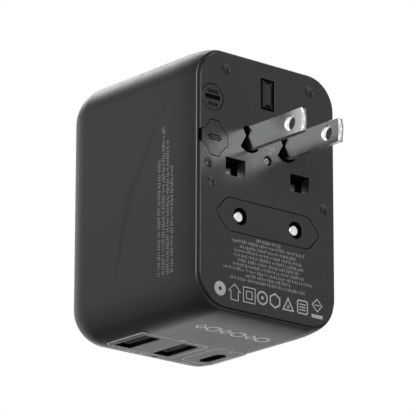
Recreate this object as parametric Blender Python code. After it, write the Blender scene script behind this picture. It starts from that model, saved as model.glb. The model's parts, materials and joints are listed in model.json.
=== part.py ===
"""Universal travel adapter.

Frame: metres, +Z up; all dimensions below are in millimetres.  The origin is the centre of the
bottom (USB) face.  The plug face with the folding and sliding pins looks along -Y (front), the
universal AC socket looks along +Y (back), and the three plug sliders are on the +X side.  The
adapter is in its travel state for US sockets: the two flat blades are out, the UK and EU pins
are drawn back into the body.
"""

import math

import bpy
import bmesh
from mathutils import Matrix, Vector

# ----------------------------------------------------------------- driving dimensions
MM = 0.001               # metres in a millimetre
GAP = 0.2                # clearance between neighbouring parts
STEP = 0.001             # depth between the two rings that make a square shoulder

SHELL_WIDTH = 49.4       # along X
SHELL_HEIGHT = 71.7      # along Z
HALF_WIDTH, MID_Z = SHELL_WIDTH / 2, SHELL_HEIGHT / 2
FACE_Y = -27.7           # outer plane of the plug face
BACK_Y = 27.7            # outer plane of the socket face
RIM_Y = -26.85           # front rim of the shell, just behind the plug face
CORNER_RADIUS = 9.6      # radius of the four long edges
TAPER_INSET, TAPER_LENGTH = 1.35, 10.0    # the shell draws in this much over its front length
ROLL_RADIUS = 12.0       # radius that rolls the sides over towards the socket face
ROLL_CUT = 2.0           # the socket face truncates that roll this far before it ends
ROLL_START_Y = BACK_Y + ROLL_CUT - ROLL_RADIUS
WALL = 2.0
LIP_Y = 24.9             # inner side of the lip round the socket face

UK_EARTH_RISE = 22.225   # earth above line and neutral
LINE_NEUTRAL_Z = 39.375  # UK pins
EARTH_Z = LINE_NEUTRAL_Z + UK_EARTH_RISE
US_Z = 48.87             # axis that the flat blades turn about
US_DROP = 0.72           # the flat blades sit this far below their axis
EU_Z = 26.55
SCREW_Z = 43.5
UK_X, US_X, EU_X = 11.11, 6.35, 9.5       # half the spacing of line and neutral
SOCKET_Z = 36.0          # line and neutral apertures of the socket
SOCKET_EARTH_Z = SOCKET_Z + UK_EARTH_RISE

FUSE_X, FUSE_Z = -18.2, 46.0
SPARE_X, SPARE_Z = -18.9, 56.95           # cap of the spare fuse
SPARE_FUSE_X = -18.3
FUSE_RADIUS, FUSE_LENGTH = 2.6, 20.0
CAP_THICKNESS = 0.7

UK_TRAVEL, US_TRAVEL = 22.4, 22.1
EU_BLOCK_TRAVEL, EU_PIN_TRAVEL = 10.0, 19.6
SLIDERS = {              # knob y, knob z, travel from here along y (lowest, highest)
    "uk": (7.0, 56.0, (-UK_TRAVEL, 0.0)),
    "us": (-15.0, 42.0, (0.0, US_TRAVEL)),
    "eu": (14.0, 28.0, (-(EU_BLOCK_TRAVEL + EU_PIN_TRAVEL), 0.0)),
}

USB_X, USB_Y = 13.0, 9.65                 # the three ports sit at x = -13, 0 and 13
BOARD_SCREW_X, BOARD_SCREW_Y = 17.6, 19.6
LED_Y = 18.2

POLES = (("line", -1), ("neutral", 1))    # name, sign of x
SIDES = (("left", -1), ("right", 1))

for old in list(bpy.data.objects):
    bpy.data.objects.remove(old, do_unlink=True)

scene = bpy.context.scene
scene.unit_settings.scale_length = 1.0


# ----------------------------------------------------------------- materials
def make_material(name, colour, roughness, metallic=0.0):
    material = bpy.data.materials.new(name)
    material.use_nodes = True
    inputs = material.node_tree.nodes["Principled BSDF"].inputs
    inputs["Base Color"].default_value = (*colour, 1)
    inputs["Roughness"].default_value = roughness
    inputs["Metallic"].default_value = metallic
    return material


SHELL = make_material("shell_plastic", colour=(0.045, 0.046, 0.046), roughness=0.45)
FACE = make_material("face_plastic", colour=(0.042, 0.043, 0.043), roughness=0.38)
BLACK = make_material("black_plastic", colour=(0.012, 0.012, 0.013), roughness=0.5)
NICKEL = make_material("nickel_plate", colour=(0.62, 0.63, 0.62), roughness=0.28, metallic=1.0)
BRASS = make_material("brass_contact", colour=(0.72, 0.55, 0.26), roughness=0.35, metallic=1.0)
STEEL = make_material("spring_steel", colour=(0.55, 0.55, 0.56), roughness=0.3, metallic=1.0)
BOARD = make_material("board_green", colour=(0.03, 0.16, 0.08), roughness=0.5)
CERAMIC = make_material("fuse_ceramic", colour=(0.72, 0.70, 0.66), roughness=0.4)
CORE = make_material("transformer_tape", colour=(0.75, 0.6, 0.12), roughness=0.5)
LENS = make_material("light_pipe", colour=(0.85, 0.88, 0.9), roughness=0.2)


# ----------------------------------------------------------------- outlines and ranges
def span(middle, half):
    return middle - half, middle + half


def mirrored_span(sign, inner, outer):
    """Range between two distances from x = 0, on the side given by sign."""
    return sorted((sign * inner, sign * outer))


def from_face(start, end):
    """Range of y measured backwards from the plug face."""
    return FACE_Y + start, FACE_Y + end


def rect(x, z, width, height):
    x0, x1 = span(x, width / 2)
    z0, z1 = span(z, height / 2)
    return [(x0, z0), (x1, z0), (x1, z1), (x0, z1)]


def tilted_rect(x, z, width, height, degrees):
    cos, sin = math.cos(math.radians(degrees)), math.sin(math.radians(degrees))
    corners = rect(0, 0, width, height)
    return [(x + u * cos - v * sin, z + u * sin + v * cos) for u, v in corners]


def rounded_rect(x, z, width, height, radius, steps=5):
    points = []
    for sign_x, sign_z, start in ((1, 1, 0), (-1, 1, 90), (-1, -1, 180), (1, -1, 270)):
        corner_x = x + sign_x * (width / 2 - radius)
        corner_z = z + sign_z * (height / 2 - radius)
        for k in range(steps + 1):
            angle = math.radians(start + 90 * k / steps)
            points.append((corner_x + radius * math.cos(angle),
                           corner_z + radius * math.sin(angle)))
    return points


def circle(x, z, radius, count, start=0.0):
    angles = [start + 2 * math.pi * k / count for k in range(count)]
    return [(x + radius * math.cos(angle), z + radius * math.sin(angle)) for angle in angles]


def soft_polygon(corners, radii, steps=4):
    """Polygon whose corners are rounded with the given radii."""
    points = []
    for i, radius in enumerate(radii):
        corner = Vector(corners[i])
        to_last = (Vector(corners[i - 1]) - corner).normalized()
        to_next = (Vector(corners[(i + 1) % len(corners)]) - corner).normalized()
        half = to_last.angle(to_next) / 2
        tangent = radius / math.tan(half)
        centre = corner + (to_last + to_next).normalized() * (radius / math.sin(half))
        first = corner + to_last * tangent - centre
        last = corner + to_next * tangent - centre
        start, end = math.atan2(first.y, first.x), math.atan2(last.y, last.x)
        while end - start > math.pi:
            end -= 2 * math.pi
        while end - start < -math.pi:
            end += 2 * math.pi
        for k in range(steps + 1):
            angle = start + (end - start) * k / steps
            points.append((centre.x + radius * math.cos(angle),
                           centre.y + radius * math.sin(angle)))
    return points


# ----------------------------------------------------------------- solids
def loft(rings, closed=False):
    """Solid through rings of points: flat caps at both ends, or closed back on the first ring."""
    solid = bmesh.new()
    rows = [[solid.verts.new(Vector(point) * MM) for point in ring] for ring in rings]
    count = len(rows[0])
    following = rows[1:] + rows[:1] if closed else rows[1:]
    for row, after in zip(rows, following):
        for i in range(count):
            j = (i + 1) % count
            solid.faces.new((row[i], row[j], after[j], after[i]))
    if not closed:
        solid.faces.new(rows[0])
        solid.faces.new(list(reversed(rows[-1])))
    bmesh.ops.recalc_face_normals(solid, faces=solid.faces)
    return solid


def ring_at(axis, depth, outline):
    """Outline at a depth along axis: it reads (y, z) for x, (x, z) for y and (x, y) for z."""
    place = {
        "x": lambda u, v: (depth, u, v),
        "y": lambda u, v: (u, depth, v),
        "z": lambda u, v: (u, v, depth),
    }[axis]
    return [place(u, v) for u, v in outline]


def stack(axis, *levels):
    """Solid through (depth, outline) levels."""
    return loft([ring_at(axis, depth, outline) for depth, outline in levels])


def prism(outline, low, high, axis="y"):
    return stack(axis, (low, outline), (high, outline))


def turned(axis, x, z, count, levels):
    """Round solid through (depth, radius) levels; (x, z) is its centre in the outline plane."""
    return stack(axis, *[(depth, circle(x, z, radius, count)) for depth, radius in levels])


def box(x_range, y_range, z_range):
    (x0, x1), (z0, z1) = x_range, z_range
    return prism([(x0, z0), (x1, z0), (x1, z1), (x0, z1)], *y_range)


# ----------------------------------------------------------------- objects
def link(name, solid, material, origin=(0, 0, 0), smooth=True):
    """Makes the object with its own origin, so that the location places it."""
    shift = Vector(origin) * MM
    bmesh.ops.translate(solid, verts=solid.verts, vec=-shift)
    mesh = bpy.data.meshes.new(name)
    solid.to_mesh(mesh)
    solid.free()
    mesh.materials.append(material)
    if smooth:
        mesh.shade_smooth()
        mesh.set_sharp_from_angle(angle=math.radians(35))
    obj = bpy.data.objects.new(name, mesh)
    obj.location = shift
    scene.collection.objects.link(obj)
    return obj


def boolean(obj, name, solid, operation):
    tool = link("tool_" + obj.name + "_" + name, solid, BLACK, smooth=False)
    tool.hide_render = True
    tool.display_type = "WIRE"
    modifier = obj.modifiers.new(name, "BOOLEAN")
    modifier.operation = operation
    modifier.solver = "EXACT"
    modifier.object = tool


def cut(obj, name, solid):
    boolean(obj, name, solid, "DIFFERENCE")


def join(obj, name, solid):
    boolean(obj, name, solid, "UNION")


def group(name, location):
    empty = bpy.data.objects.new(name, None)
    empty.location = Vector(location) * MM
    empty.empty_display_size = 0.01
    scene.collection.objects.link(empty)
    return empty


def adopt(parent, *children):
    """Parents the pieces without moving them."""
    for child in children:
        child.parent = parent
        child.matrix_parent_inverse = Matrix.Translation(parent.location).inverted()


# ----------------------------------------------------------------- main shell
TAPER_ANGLES = (0, 28, 55, 90)            # stations on the quarter ellipse of the front
ROLL_STEPS = 5
RIM_INSET = 2.8                           # the cavity is narrower behind the front rim
OPENING_INSET = 1.15                      # socket face opening, inside the shell's back edge
TRACK_Y, TRACK_LENGTH, TRACK_HEIGHT = -1.6, 42.6, 39.6
TRACK_RADIUS, TRACK_DEPTH = 4.0, 0.9
SLOT_END, SLOT_HEIGHT, SLOT_RADIUS = 1.9, 3.2, 1.55    # end: room beyond the stem's centre
PORT_A, PORT_C = (5.2, 12.6, 0.45, 2), (3.3, 9.0, 1.64, 6)    # x, y size, radius, steps
FLOOR_CUT = (-3, 4)                       # z range of the cuts through the bottom wall
NOTCH_OUTER_X, NOTCH_INNER_X = -23.05, -22.3
NOTCH_Z = span(FUSE_Z, 1.75)


def shell_outline(inset, steps=7):
    radius = max(CORNER_RADIUS - inset * 0.75, 1.0)
    width, height = SHELL_WIDTH - 2 * inset, SHELL_HEIGHT - 2 * inset
    return rounded_rect(0, MID_Z, width, height, radius, steps)


def back_inset(y):
    """How far the rolled back of the shell has drawn in at y."""
    sine = (y - ROLL_START_Y) / ROLL_RADIUS
    return ROLL_RADIUS * (1 - math.cos(math.asin(max(0.0, sine))))


def shell_levels():
    levels = []
    for degrees in TAPER_ANGLES:
        angle = math.radians(degrees)
        levels.append((RIM_Y + TAPER_LENGTH * (1 - math.cos(angle)),
                       shell_outline(TAPER_INSET * (1 - math.sin(angle)))))
    last = math.asin((ROLL_RADIUS - ROLL_CUT) / ROLL_RADIUS)
    for k in range(ROLL_STEPS + 1):
        angle = last * k / ROLL_STEPS
        levels.append((ROLL_START_Y + ROLL_RADIUS * math.sin(angle),
                       shell_outline(ROLL_RADIUS * (1 - math.cos(angle)))))
    return levels


CAVITY_LEVELS = (                         # y, inset from the straight sides
    (FACE_Y - 4, RIM_INSET),
    (-22.5, RIM_INSET),
    (-21.5, WALL),
    (17.5, WALL),
    (21.5, back_inset(21.5) + WALL),
    (LIP_Y, back_inset(LIP_Y) + WALL - 0.1),
)
OPENING_FROM_SIDES = back_inset(BACK_Y) + OPENING_INSET

main_shell = link("main_shell", stack("y", *shell_levels()), SHELL)
cut(main_shell, "cavity", stack("y", *[(y, shell_outline(inset)) for y, inset in CAVITY_LEVELS]))
cut(main_shell, "back_opening", prism(shell_outline(OPENING_FROM_SIDES, 5), LIP_Y - 4, BACK_Y + 4))

# shallow track for the sliders, centred on the middle knob, and the slots of their stems
track = rounded_rect(TRACK_Y, SLIDERS["us"][1], TRACK_LENGTH, TRACK_HEIGHT, TRACK_RADIUS)
cut(main_shell, "track", prism(track, HALF_WIDTH - TRACK_DEPTH, HALF_WIDTH + 4, "x"))
for key, (y, z, (travel_low, travel_high)) in SLIDERS.items():
    low, high = y + travel_low - SLOT_END, y + travel_high + SLOT_END
    slot = rounded_rect((low + high) / 2, z, high - low, SLOT_HEIGHT, SLOT_RADIUS, 4)
    cut(main_shell, "slot_" + key, prism(slot, *span(HALF_WIDTH, 4), "x"))

# openings in the bottom face
for name, x, port in (("port_a1", -USB_X, PORT_A), ("port_a2", 0.0, PORT_A),
                      ("port_c", USB_X, PORT_C)):
    cut(main_shell, name, prism(rounded_rect(x, USB_Y, *port), *FLOOR_CUT, "z"))
cut(main_shell, "led_hole", prism(circle(0, LED_Y, 0.65, 12), *FLOOR_CUT, "z"))

# small pry notch in the rim, beside the fuse drawer
cut(main_shell, "pry_notch", box((NOTCH_OUTER_X, NOTCH_INNER_X), (RIM_Y - 1, RIM_Y + 1.2), NOTCH_Z))

# bosses that carry the USB board, with pilot holes for its screws
for side, sign in SIDES:
    x = sign * BOARD_SCREW_X
    join(main_shell, "boss_" + side, prism(circle(x, BOARD_SCREW_Y, 2.0, 12), 1.2, 15.1, "z"))
    cut(main_shell, "pilot_" + side, prism(circle(x, BOARD_SCREW_Y, 1.2, 12), 5.0, 18.0, "z"))

# ----------------------------------------------------------------- plug face plate
PLATE_WIDTH, PLATE_BOTTOM, PLATE_TOP = 46.0, 1.6, 70.15    # outer flange
PLATE_RADIUS = 8.6
FLANGE_THICKNESS, PLATE_THICKNESS = 0.75, 3.2    # flange, and plate with its spigot
SPIGOT_INSET = 1.5                        # the spigot behind the flange is this much smaller
PLATE_BEVEL = 0.25
THROUGH = from_face(-2, PLATE_THICKNESS + 2)
CAP_POCKET = from_face(-1, 0.95)
BORE_RADIUS = FUSE_RADIUS + 0.35

BOW_HALF_WAIST, BOW_SWING = 1.0, 30.0     # half thickness of the swept strip, degrees each way
BOW_TOP_RADIUS, BOW_BOTTOM_RADIUS = 2.85, 4.42
BOW_STEPS = 5

HEX_TIP_X, HEX_SHOULDER_X, HEX_HALF_HEIGHT = 17.75, 13.95, 4.35
HEX_TIP_RADIUS, HEX_SHOULDER_RADIUS = 1.0, 3.0

# First quadrant of the eared octagon (x, z from its centre): short flats at the ends, a small
# step, then a long diagonal.
EAR_QUADRANT = [
    (4.35, 0), (4.35, 1.5), (4.1, 1.78), (3.55, 1.95),
    (1.98, 3.6), (1.72, 4.3), (1.35, 4.7), (0, 4.7),
]
EAR_MEAN_RADIUS = 4.2                     # growing scales the octagon relative to this radius
DIMPLES = ((-14.35, 65.6), (14.55, 65.6), (-20.4, 38.95), (-19.2, 34.1), (19.4, 34.1))    # x, z
DIMPLE_LEVELS = ((-1, 1.4), (0.12, 1.3), (0.45, 0.6))    # depth behind the plug face, radius


def plate_outline(inset):
    height = PLATE_TOP - PLATE_BOTTOM
    return rounded_rect(0, (PLATE_BOTTOM + PLATE_TOP) / 2, PLATE_WIDTH - 2 * inset,
                        height - 2 * inset, PLATE_RADIUS - inset, 7)


def bow_tie(x, z):
    """Outline swept by a flat blade that turns both ways: two fans that meet at a narrow waist."""
    points = []
    waist = BOW_HALF_WAIST / math.cos(math.radians(BOW_SWING))
    for middle, radius, sign in ((90, BOW_TOP_RADIUS, 1), (270, BOW_BOTTOM_RADIUS, -1)):
        fan = BOW_SWING + math.degrees(math.asin(BOW_HALF_WAIST / radius))
        points.append((x + sign * waist, z))
        for k in range(BOW_STEPS + 1):
            angle = math.radians(middle - fan + 2 * fan * k / BOW_STEPS)
            points.append((x + radius * math.cos(angle), z + radius * math.sin(angle)))
    return points


def hexagon(grow=0.0):
    """Flat hexagon of the EU block, with soft corners."""
    tip, shoulder = HEX_TIP_X + grow * 1.15, HEX_SHOULDER_X + grow * 0.6
    half = HEX_HALF_HEIGHT + grow
    corners = [(tip, 0), (shoulder, half), (-shoulder, half),
               (-tip, 0), (-shoulder, -half), (shoulder, -half)]
    radii = [HEX_TIP_RADIUS + grow, HEX_SHOULDER_RADIUS + grow, HEX_SHOULDER_RADIUS + grow] * 2
    return soft_polygon([(x, z + EU_Z) for x, z in corners], radii)


def eared_octagon(grow=0.0):
    """Outline of the fuse cap: an octagon with four ears."""
    full = EAR_QUADRANT + [(-x, z) for x, z in reversed(EAR_QUADRANT[:-1])]
    full += [(-x, -z) for x, z in EAR_QUADRANT[1:]]
    full += [(x, -z) for x, z in reversed(EAR_QUADRANT[1:-1])]
    scale = 1 + grow / EAR_MEAN_RADIUS
    return [(FUSE_X + x * scale, FUSE_Z + z * scale) for x, z in full]


plug_face_plate = link("plug_face_plate", stack(
    "y",
    (FACE_Y, plate_outline(PLATE_BEVEL)),
    (FACE_Y + PLATE_BEVEL, plate_outline(0.0)),
    (FACE_Y + FLANGE_THICKNESS, plate_outline(0.0)),
    (FACE_Y + FLANGE_THICKNESS + STEP, plate_outline(SPIGOT_INSET)),
    (FACE_Y + PLATE_THICKNESS, plate_outline(SPIGOT_INSET)),
), FACE)
cut(plug_face_plate, "earth_hole", prism(rect(0, EARTH_Z, 4.74, 8.5), *THROUGH))
for pole, sign in POLES:
    cut(plug_face_plate, "uk_" + pole,
        prism(rect(sign * UK_X, LINE_NEUTRAL_Z, 6.68, 4.7), *THROUGH))
for side, sign in SIDES:
    cut(plug_face_plate, "bow_" + side, prism(bow_tie(sign * US_X, US_Z), *THROUGH))
cut(plug_face_plate, "hex_opening", prism(hexagon(GAP), *THROUGH))
cut(plug_face_plate, "fuse_pocket", prism(eared_octagon(0.16), *CAP_POCKET))
cut(plug_face_plate, "fuse_bore", prism(circle(FUSE_X, FUSE_Z, BORE_RADIUS, 20), *THROUGH))
cut(plug_face_plate, "spare_pocket", prism(circle(SPARE_X, SPARE_Z, 3.82, 32), *CAP_POCKET))
cut(plug_face_plate, "spare_bore", prism(circle(SPARE_FUSE_X, SPARE_Z, BORE_RADIUS, 20), *THROUGH))
cut(plug_face_plate, "pry_notch", box((-25, NOTCH_INNER_X), from_face(-1, 1.6), NOTCH_Z))
cut(plug_face_plate, "screw_recess", prism(circle(0, SCREW_Z, 1.25, 16), *from_face(-1, 1.5)))
cut(plug_face_plate, "screw_hole", prism(circle(0, SCREW_Z, 0.9, 12), *THROUGH))
for i, (x, z) in enumerate(DIMPLES):
    levels = [(FACE_Y + depth, radius) for depth, radius in DIMPLE_LEVELS]
    cut(plug_face_plate, "dimple_%d" % (i + 1), turned("y", x, z, 14, levels))

# ----------------------------------------------------------------- socket face
FLANGE_INSET = back_inset(LIP_Y) + WALL + 0.25    # flange that sits behind the shell's lip
OUTER_INSET = OPENING_FROM_SIDES + 0.22
SOCKET_BEVEL = 0.3
AU_X, AU_TILT = 7.4, 30                   # slanted slots: centre, degrees from upright


def socket_through(shift=0.0):
    """Range of y through the socket face; shifts keep ends of overlapping cuts off one plane."""
    return 20.0 + shift, BACK_Y + 2 + shift


socket_face = link("socket_face", stack(
    "y",
    (22.9, shell_outline(FLANGE_INSET, 6)),
    (LIP_Y - 0.25, shell_outline(FLANGE_INSET, 6)),
    (LIP_Y - 0.25 + STEP, shell_outline(OUTER_INSET, 6)),
    (BACK_Y - SOCKET_BEVEL, shell_outline(OUTER_INSET, 6)),
    (BACK_Y, shell_outline(OUTER_INSET + SOCKET_BEVEL, 6)),
), FACE)
cut(socket_face, "earth_slot", prism(rect(0, SOCKET_EARTH_Z, 4.9, 8.8), *socket_through()))
for pole, sign in POLES:
    for name, outline, shift in (
        ("uk_", rect(sign * UK_X, SOCKET_Z, 7.0, 4.8), 0.0),
        ("eu_", circle(sign * EU_X, SOCKET_Z, 2.7, 20, 0.05), 0.3),
        ("us_", rect(sign * US_X, SOCKET_Z, 1.9, 7.5), 0.6),
        ("au_", tilted_rect(sign * AU_X, SOCKET_Z, 1.95, 7.6, sign * AU_TILT), 0.9),
    ):
        cut(socket_face, name + pole, prism(outline, *socket_through(shift)))
third_slot = rounded_rect(0, SOCKET_Z + 10.1, 2.1, 7.4, 0.3, 2)
cut(socket_face, "third_slot", prism(third_slot, *socket_through()))
cut(socket_face, "third_round", prism(circle(0, SOCKET_Z - 11.9, 2.6, 20), *socket_through()))

# ----------------------------------------------------------------- mid frame
# Rear wall, two shelves and a guide post for the centre screw.
REAR_WALL_Y = (11.2, 12.8)
WINDOW_Y = (8.0, 16.0)                    # cuts through the rear wall
BAR_GAP_X, BAR_GAP_Z = 15.85, (33.7, 37.4)    # inner edge and height range of the bar gaps

mid_frame = link("mid_frame", box((-20.6, 17.6), REAR_WALL_Y, (19.4, 64.0)), BLACK, smooth=False)
join(mid_frame, "upper_shelf", box((-20.8, 20.8), (-24.0, REAR_WALL_Y[1] - 0.3), (31.7, 33.2)))
join(mid_frame, "lower_shelf", box((-20.9, 20.9), (-24.2, REAR_WALL_Y[1] - 0.5), (19.6, 21.2)))
join(mid_frame, "guide_post", prism(circle(0, SCREW_Z, 1.4, 14), -24.1, REAR_WALL_Y[0] + 0.6))
cut(mid_frame, "post_bore", prism(circle(0, SCREW_Z, 0.85, 10), -26.0, -15.0))
cut(mid_frame, "earth_window", box((-3.0, 3.0), WINDOW_Y, span(SOCKET_EARTH_Z, 4.9)))
for pole, sign in POLES:
    cut(mid_frame, "window_" + pole, box(mirrored_span(sign, 4.9, 15.3), WINDOW_Y, (33.6, 40.2)))
cut(mid_frame, "bar_gap_neutral", box((BAR_GAP_X, 18.2), WINDOW_Y, BAR_GAP_Z))
cut(mid_frame, "bar_gap_line", box((-17.2, -BAR_GAP_X), WINDOW_Y, BAR_GAP_Z))

# ----------------------------------------------------------------- centre screw
SCREW_LEVELS = (                          # y, radius
    (FACE_Y + 0.55, 0.8),
    (FACE_Y + 0.7, 1.0),
    (FACE_Y + 1.25, 1.0),
    (FACE_Y + 1.25 + STEP, 0.6),
    (-17.2, 0.6),
    (-16.4, 0.2),
)
centre_screw = link("centre_screw", turned("y", 0, SCREW_Z, 16, SCREW_LEVELS), STEEL)
cut(centre_screw, "drive", prism(rect(0, SCREW_Z, 1.3, 0.26), *from_face(0, 0.9)))

# ----------------------------------------------------------------- slider knobs and carriages
KNOB_LEVELS = (                           # x, then size along y and z, corner radius, steps
    (24.0, (9.0, 9.6, 2.0, 4)),
    (25.0, (9.0, 9.6, 2.0, 4)),
    (25.4, (8.2, 8.8, 1.7, 4)),
)
STEM_X = (20.9, 24.4)
GROOVE_X = (25.05, 26.0)
GROOVE_PITCH = 2.2


def knob(key):
    """Grip pad with three grooves, and a stem that goes through the slot."""
    y, z, _ = SLIDERS[key]
    levels = [(x, rounded_rect(y, z, *size)) for x, size in KNOB_LEVELS]
    pad = link(key + "_knob", stack("x", *levels), FACE, (KNOB_LEVELS[0][0], y, z))
    join(pad, "stem", prism(rect(y, z, 2.8, 2.2), *STEM_X, "x"))
    for i in range(3):
        groove = rect(y + (i - 1) * GROOVE_PITCH, z, 0.7, 6.4)
        cut(pad, "rib_%d" % i, prism(groove, *GROOVE_X, "x"))
    return pad


def carriage(name, base, parts):
    """Moulded block; its parts differ a little in y so that joined faces never coincide."""
    block = link(name, box(*base), BLACK, smooth=False)
    for part, *ranges in parts:
        join(block, part, box(*ranges))
    return block


# ----------------------------------------------------------------- UK pins (slide along -Y)
UK_FRONT, UK_REAR = -1.6, 2.4             # y range of the carriage
UK_PARTS = (                              # name, x range, y range, z range
    ("column", (-13.9, -11.2), (UK_FRONT + 0.1, UK_REAR - 0.1), (38.0, 60.0)),
    ("bridge", (-13.8, 18.8), (UK_FRONT + 0.2, UK_REAR - 0.2), (54.7, 59.9)),
    ("earth_block", (-4.2, 4.2), (UK_FRONT + 0.3, UK_REAR - 0.3), (56.0, 66.4)),
    ("arm", (18.5, 20.6), (UK_FRONT + 0.4, 8.7), (54.5, 57.5)),
)
LIVE_PIN = (6.3, 3.95, 0.6, 0.8, FACE_Y + 4.7, NICKEL)
UK_PINS = (     # name, x, z, then width, height, tip bevel, bevel length, tip y, material
    ("earth", 0, EARTH_Z, 4.0, 8.0, 1.1, 1.1, FACE_Y - 0.3, BLACK),
    ("line", -UK_X, LINE_NEUTRAL_Z, *LIVE_PIN),
    ("neutral", UK_X, LINE_NEUTRAL_Z, *LIVE_PIN),
)


def uk_pin(name, x, z, width, height, bevel, bevel_length, tip_y, material):
    """Rectangular pin with a bevelled tip."""
    shank = rect(x, z, width, height)
    solid = stack(
        "y",
        (tip_y, rect(x, z, width - 2 * bevel, height - 2 * bevel)),
        (tip_y + bevel_length, shank),
        (UK_FRONT - GAP, shank),
    )
    return link("uk_pin_" + name, solid, material, (x, 0, z), smooth=False)


uk_body = group("uk_slider_axis", (0, 0, LINE_NEUTRAL_Z))
uk_base = ((-15.2, 15.2), (UK_FRONT, UK_REAR), (36.7, 41.7))
uk_carriage = carriage("uk_carriage", uk_base, UK_PARTS)
adopt(uk_body, uk_carriage, *[uk_pin(*pin) for pin in UK_PINS], knob("uk"))

# ----------------------------------------------------------------- US / AU blades
# They slide along Y, and each turns about its own axis along Y.
US_FRONT, US_REAR = -20.7, -16.7          # y range of the carriage
BLADE_OUT = 21.9                          # length in front of the plug face, at the tip's crown
BLADE_CROWN = 0.65
BLADE_HALF_WIDTH = 3.175
BLADE_BACK_Y = -21.6
BLADE_LEVELS = (    # x from mid-thickness, reach without crown, crown, narrowing of the end
    (-0.75, 21.1, 0.0, 0.02),
    (-0.28, BLADE_OUT - BLADE_CROWN, BLADE_CROWN, 0.25),
    (0.28, BLADE_OUT - BLADE_CROWN, BLADE_CROWN, 0.25),
    (0.75, 21.1, 0.0, 0.02),
)


def blade_outline(z, reach, crown, narrow):
    """Side view (y, z) of a flat blade: square shank, and an end that bulges by crown."""
    half = BLADE_HALF_WIDTH
    end_y = FACE_Y - reach
    points = [(BLADE_BACK_Y, z - half), (end_y + 0.5, z - half)]
    for k in range(9):
        across = -1 + k / 4
        points.append((end_y - crown * (1 - across * across), z + (half - narrow) * across))
    return points + [(end_y + 0.5, z + half), (BLADE_BACK_Y, z + half)]


def us_blade(side, x):
    """Blade with its eye, and the rotor that holds it, on one turning axis."""
    turn = group("us_blade_%s_axis" % side, (x, 0, US_Z))
    origin = (x, 0, US_Z)
    z = US_Z - US_DROP
    levels = [(x + offset, blade_outline(z, *shape)) for offset, *shape in BLADE_LEVELS]
    blade = link("us_blade_" + side, stack("x", *levels), NICKEL, origin)
    cut(blade, "eye", prism(circle(FACE_Y - 16.7, z, 1.7, 20), *span(x, 2), "x"))
    rotor = link("us_rotor_" + side, prism(circle(x, US_Z, 4.6, 28), -24.1, -21.1), BLACK, origin)
    join(rotor, "shaft", prism(circle(x, US_Z, 1.6, 14), -21.5, US_REAR + 1.0))
    cut(rotor, "slot", box(span(x, 0.95), (-26.0, -21.4), span(z, 3.4)))
    adopt(turn, blade, rotor)
    return turn


us_body = group("us_slider_axis", (0, 0, US_Z))
us_base = ((-10.6, 18.8), (US_FRONT, US_REAR), (46.0, 51.6))
us_arm = ("arm", (16.6, 20.6), (US_FRONT + 0.1, -13.3), (40.4, 50.9))
us_carriage = carriage("us_carriage", us_base, [us_arm])
for side, sign in SIDES:
    seat = prism(circle(sign * US_X, US_Z, 1.9, 14), US_FRONT - 2, US_REAR + 2)
    cut(us_carriage, "seat_" + side, seat)
adopt(us_body, us_carriage, knob("us"), *[us_blade(side, sign * US_X) for side, sign in SIDES])

# ----------------------------------------------------------------- EU block and pins (slide along -Y)
BLOCK_BACK = FACE_Y + 14.0
EU_FRONT = BLOCK_BACK + EU_PIN_TRAVEL + 0.4    # y range of the carriage
EU_REAR = EU_FRONT + 3.5
EU_PIN_RADIUS, EU_TIP_Y = 2.0, FACE_Y + 0.55
TIP_ROUND, TIP_LENGTH = 1.1, 0.9          # the tip rounds off radially and along y by these
TIP_ANGLES = (0, 32, 62, 90)


def eu_pin(pole, x):
    """Round pin with a rounded tip."""
    levels = []
    for degrees in TIP_ANGLES:
        angle = math.radians(degrees)
        levels.append((EU_TIP_Y + TIP_LENGTH * (1 - math.cos(angle)),
                       EU_PIN_RADIUS - TIP_ROUND + TIP_ROUND * math.sin(angle)))
    levels.append((EU_FRONT - GAP, EU_PIN_RADIUS))
    return link("eu_pin_" + pole, turned("y", x, EU_Z, 18, levels), NICKEL, (x, 0, EU_Z))


eu_body = group("eu_block_axis", (0, 0, EU_Z))
eu_block = link("eu_block", stack(
    "y",
    (FACE_Y, hexagon(-0.12)),
    (FACE_Y + 0.15, hexagon()),
    (BLOCK_BACK, hexagon()),
), FACE, (0, 0, EU_Z))
for pole, sign in POLES:
    bore = prism(circle(sign * EU_X, EU_Z, 2.3, 22), FACE_Y - 2, BLOCK_BACK + 2)
    cut(eu_block, "bore_" + pole, bore)
eu_pin_body = group("eu_pins_axis", (0, 0, EU_Z))
eu_base = ((-13.0, 18.8), (EU_FRONT, EU_REAR), (23.2, 29.6))
eu_arm = ("arm", (18.5, 20.6), (EU_FRONT + 0.1, 15.7), (26.4, 29.7))
eu_carriage = carriage("eu_carriage", eu_base, [eu_arm])
adopt(eu_pin_body, eu_carriage, *[eu_pin(pole, sign * EU_X) for pole, sign in POLES], knob("eu"))
adopt(eu_body, eu_block, eu_pin_body)

# ----------------------------------------------------------------- fuses
FUSE_LEVELS = (                           # distance from the nearer end, radius
    (0, FUSE_RADIUS - 0.15),
    (0.15, FUSE_RADIUS),
    (5.0, FUSE_RADIUS),
    (5.05, FUSE_RADIUS - 0.2),
)
CLIP_STEPS, CLIP_HALF_ANGLE, CLIP_WIDTH = 14, 130, 3.2
CLIP_INNER, CLIP_OUTER = FUSE_RADIUS + 0.22, FUSE_RADIUS + 0.65


def fuse(name, x, z, front_y):
    """Tube fuse with slightly wider end caps."""
    levels = [(front_y + depth, radius) for depth, radius in FUSE_LEVELS]
    levels += [(front_y + FUSE_LENGTH - depth, radius) for depth, radius in reversed(FUSE_LEVELS)]
    return link(name, turned("y", x, z, 20, levels), CERAMIC, (x, 0, z))


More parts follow.
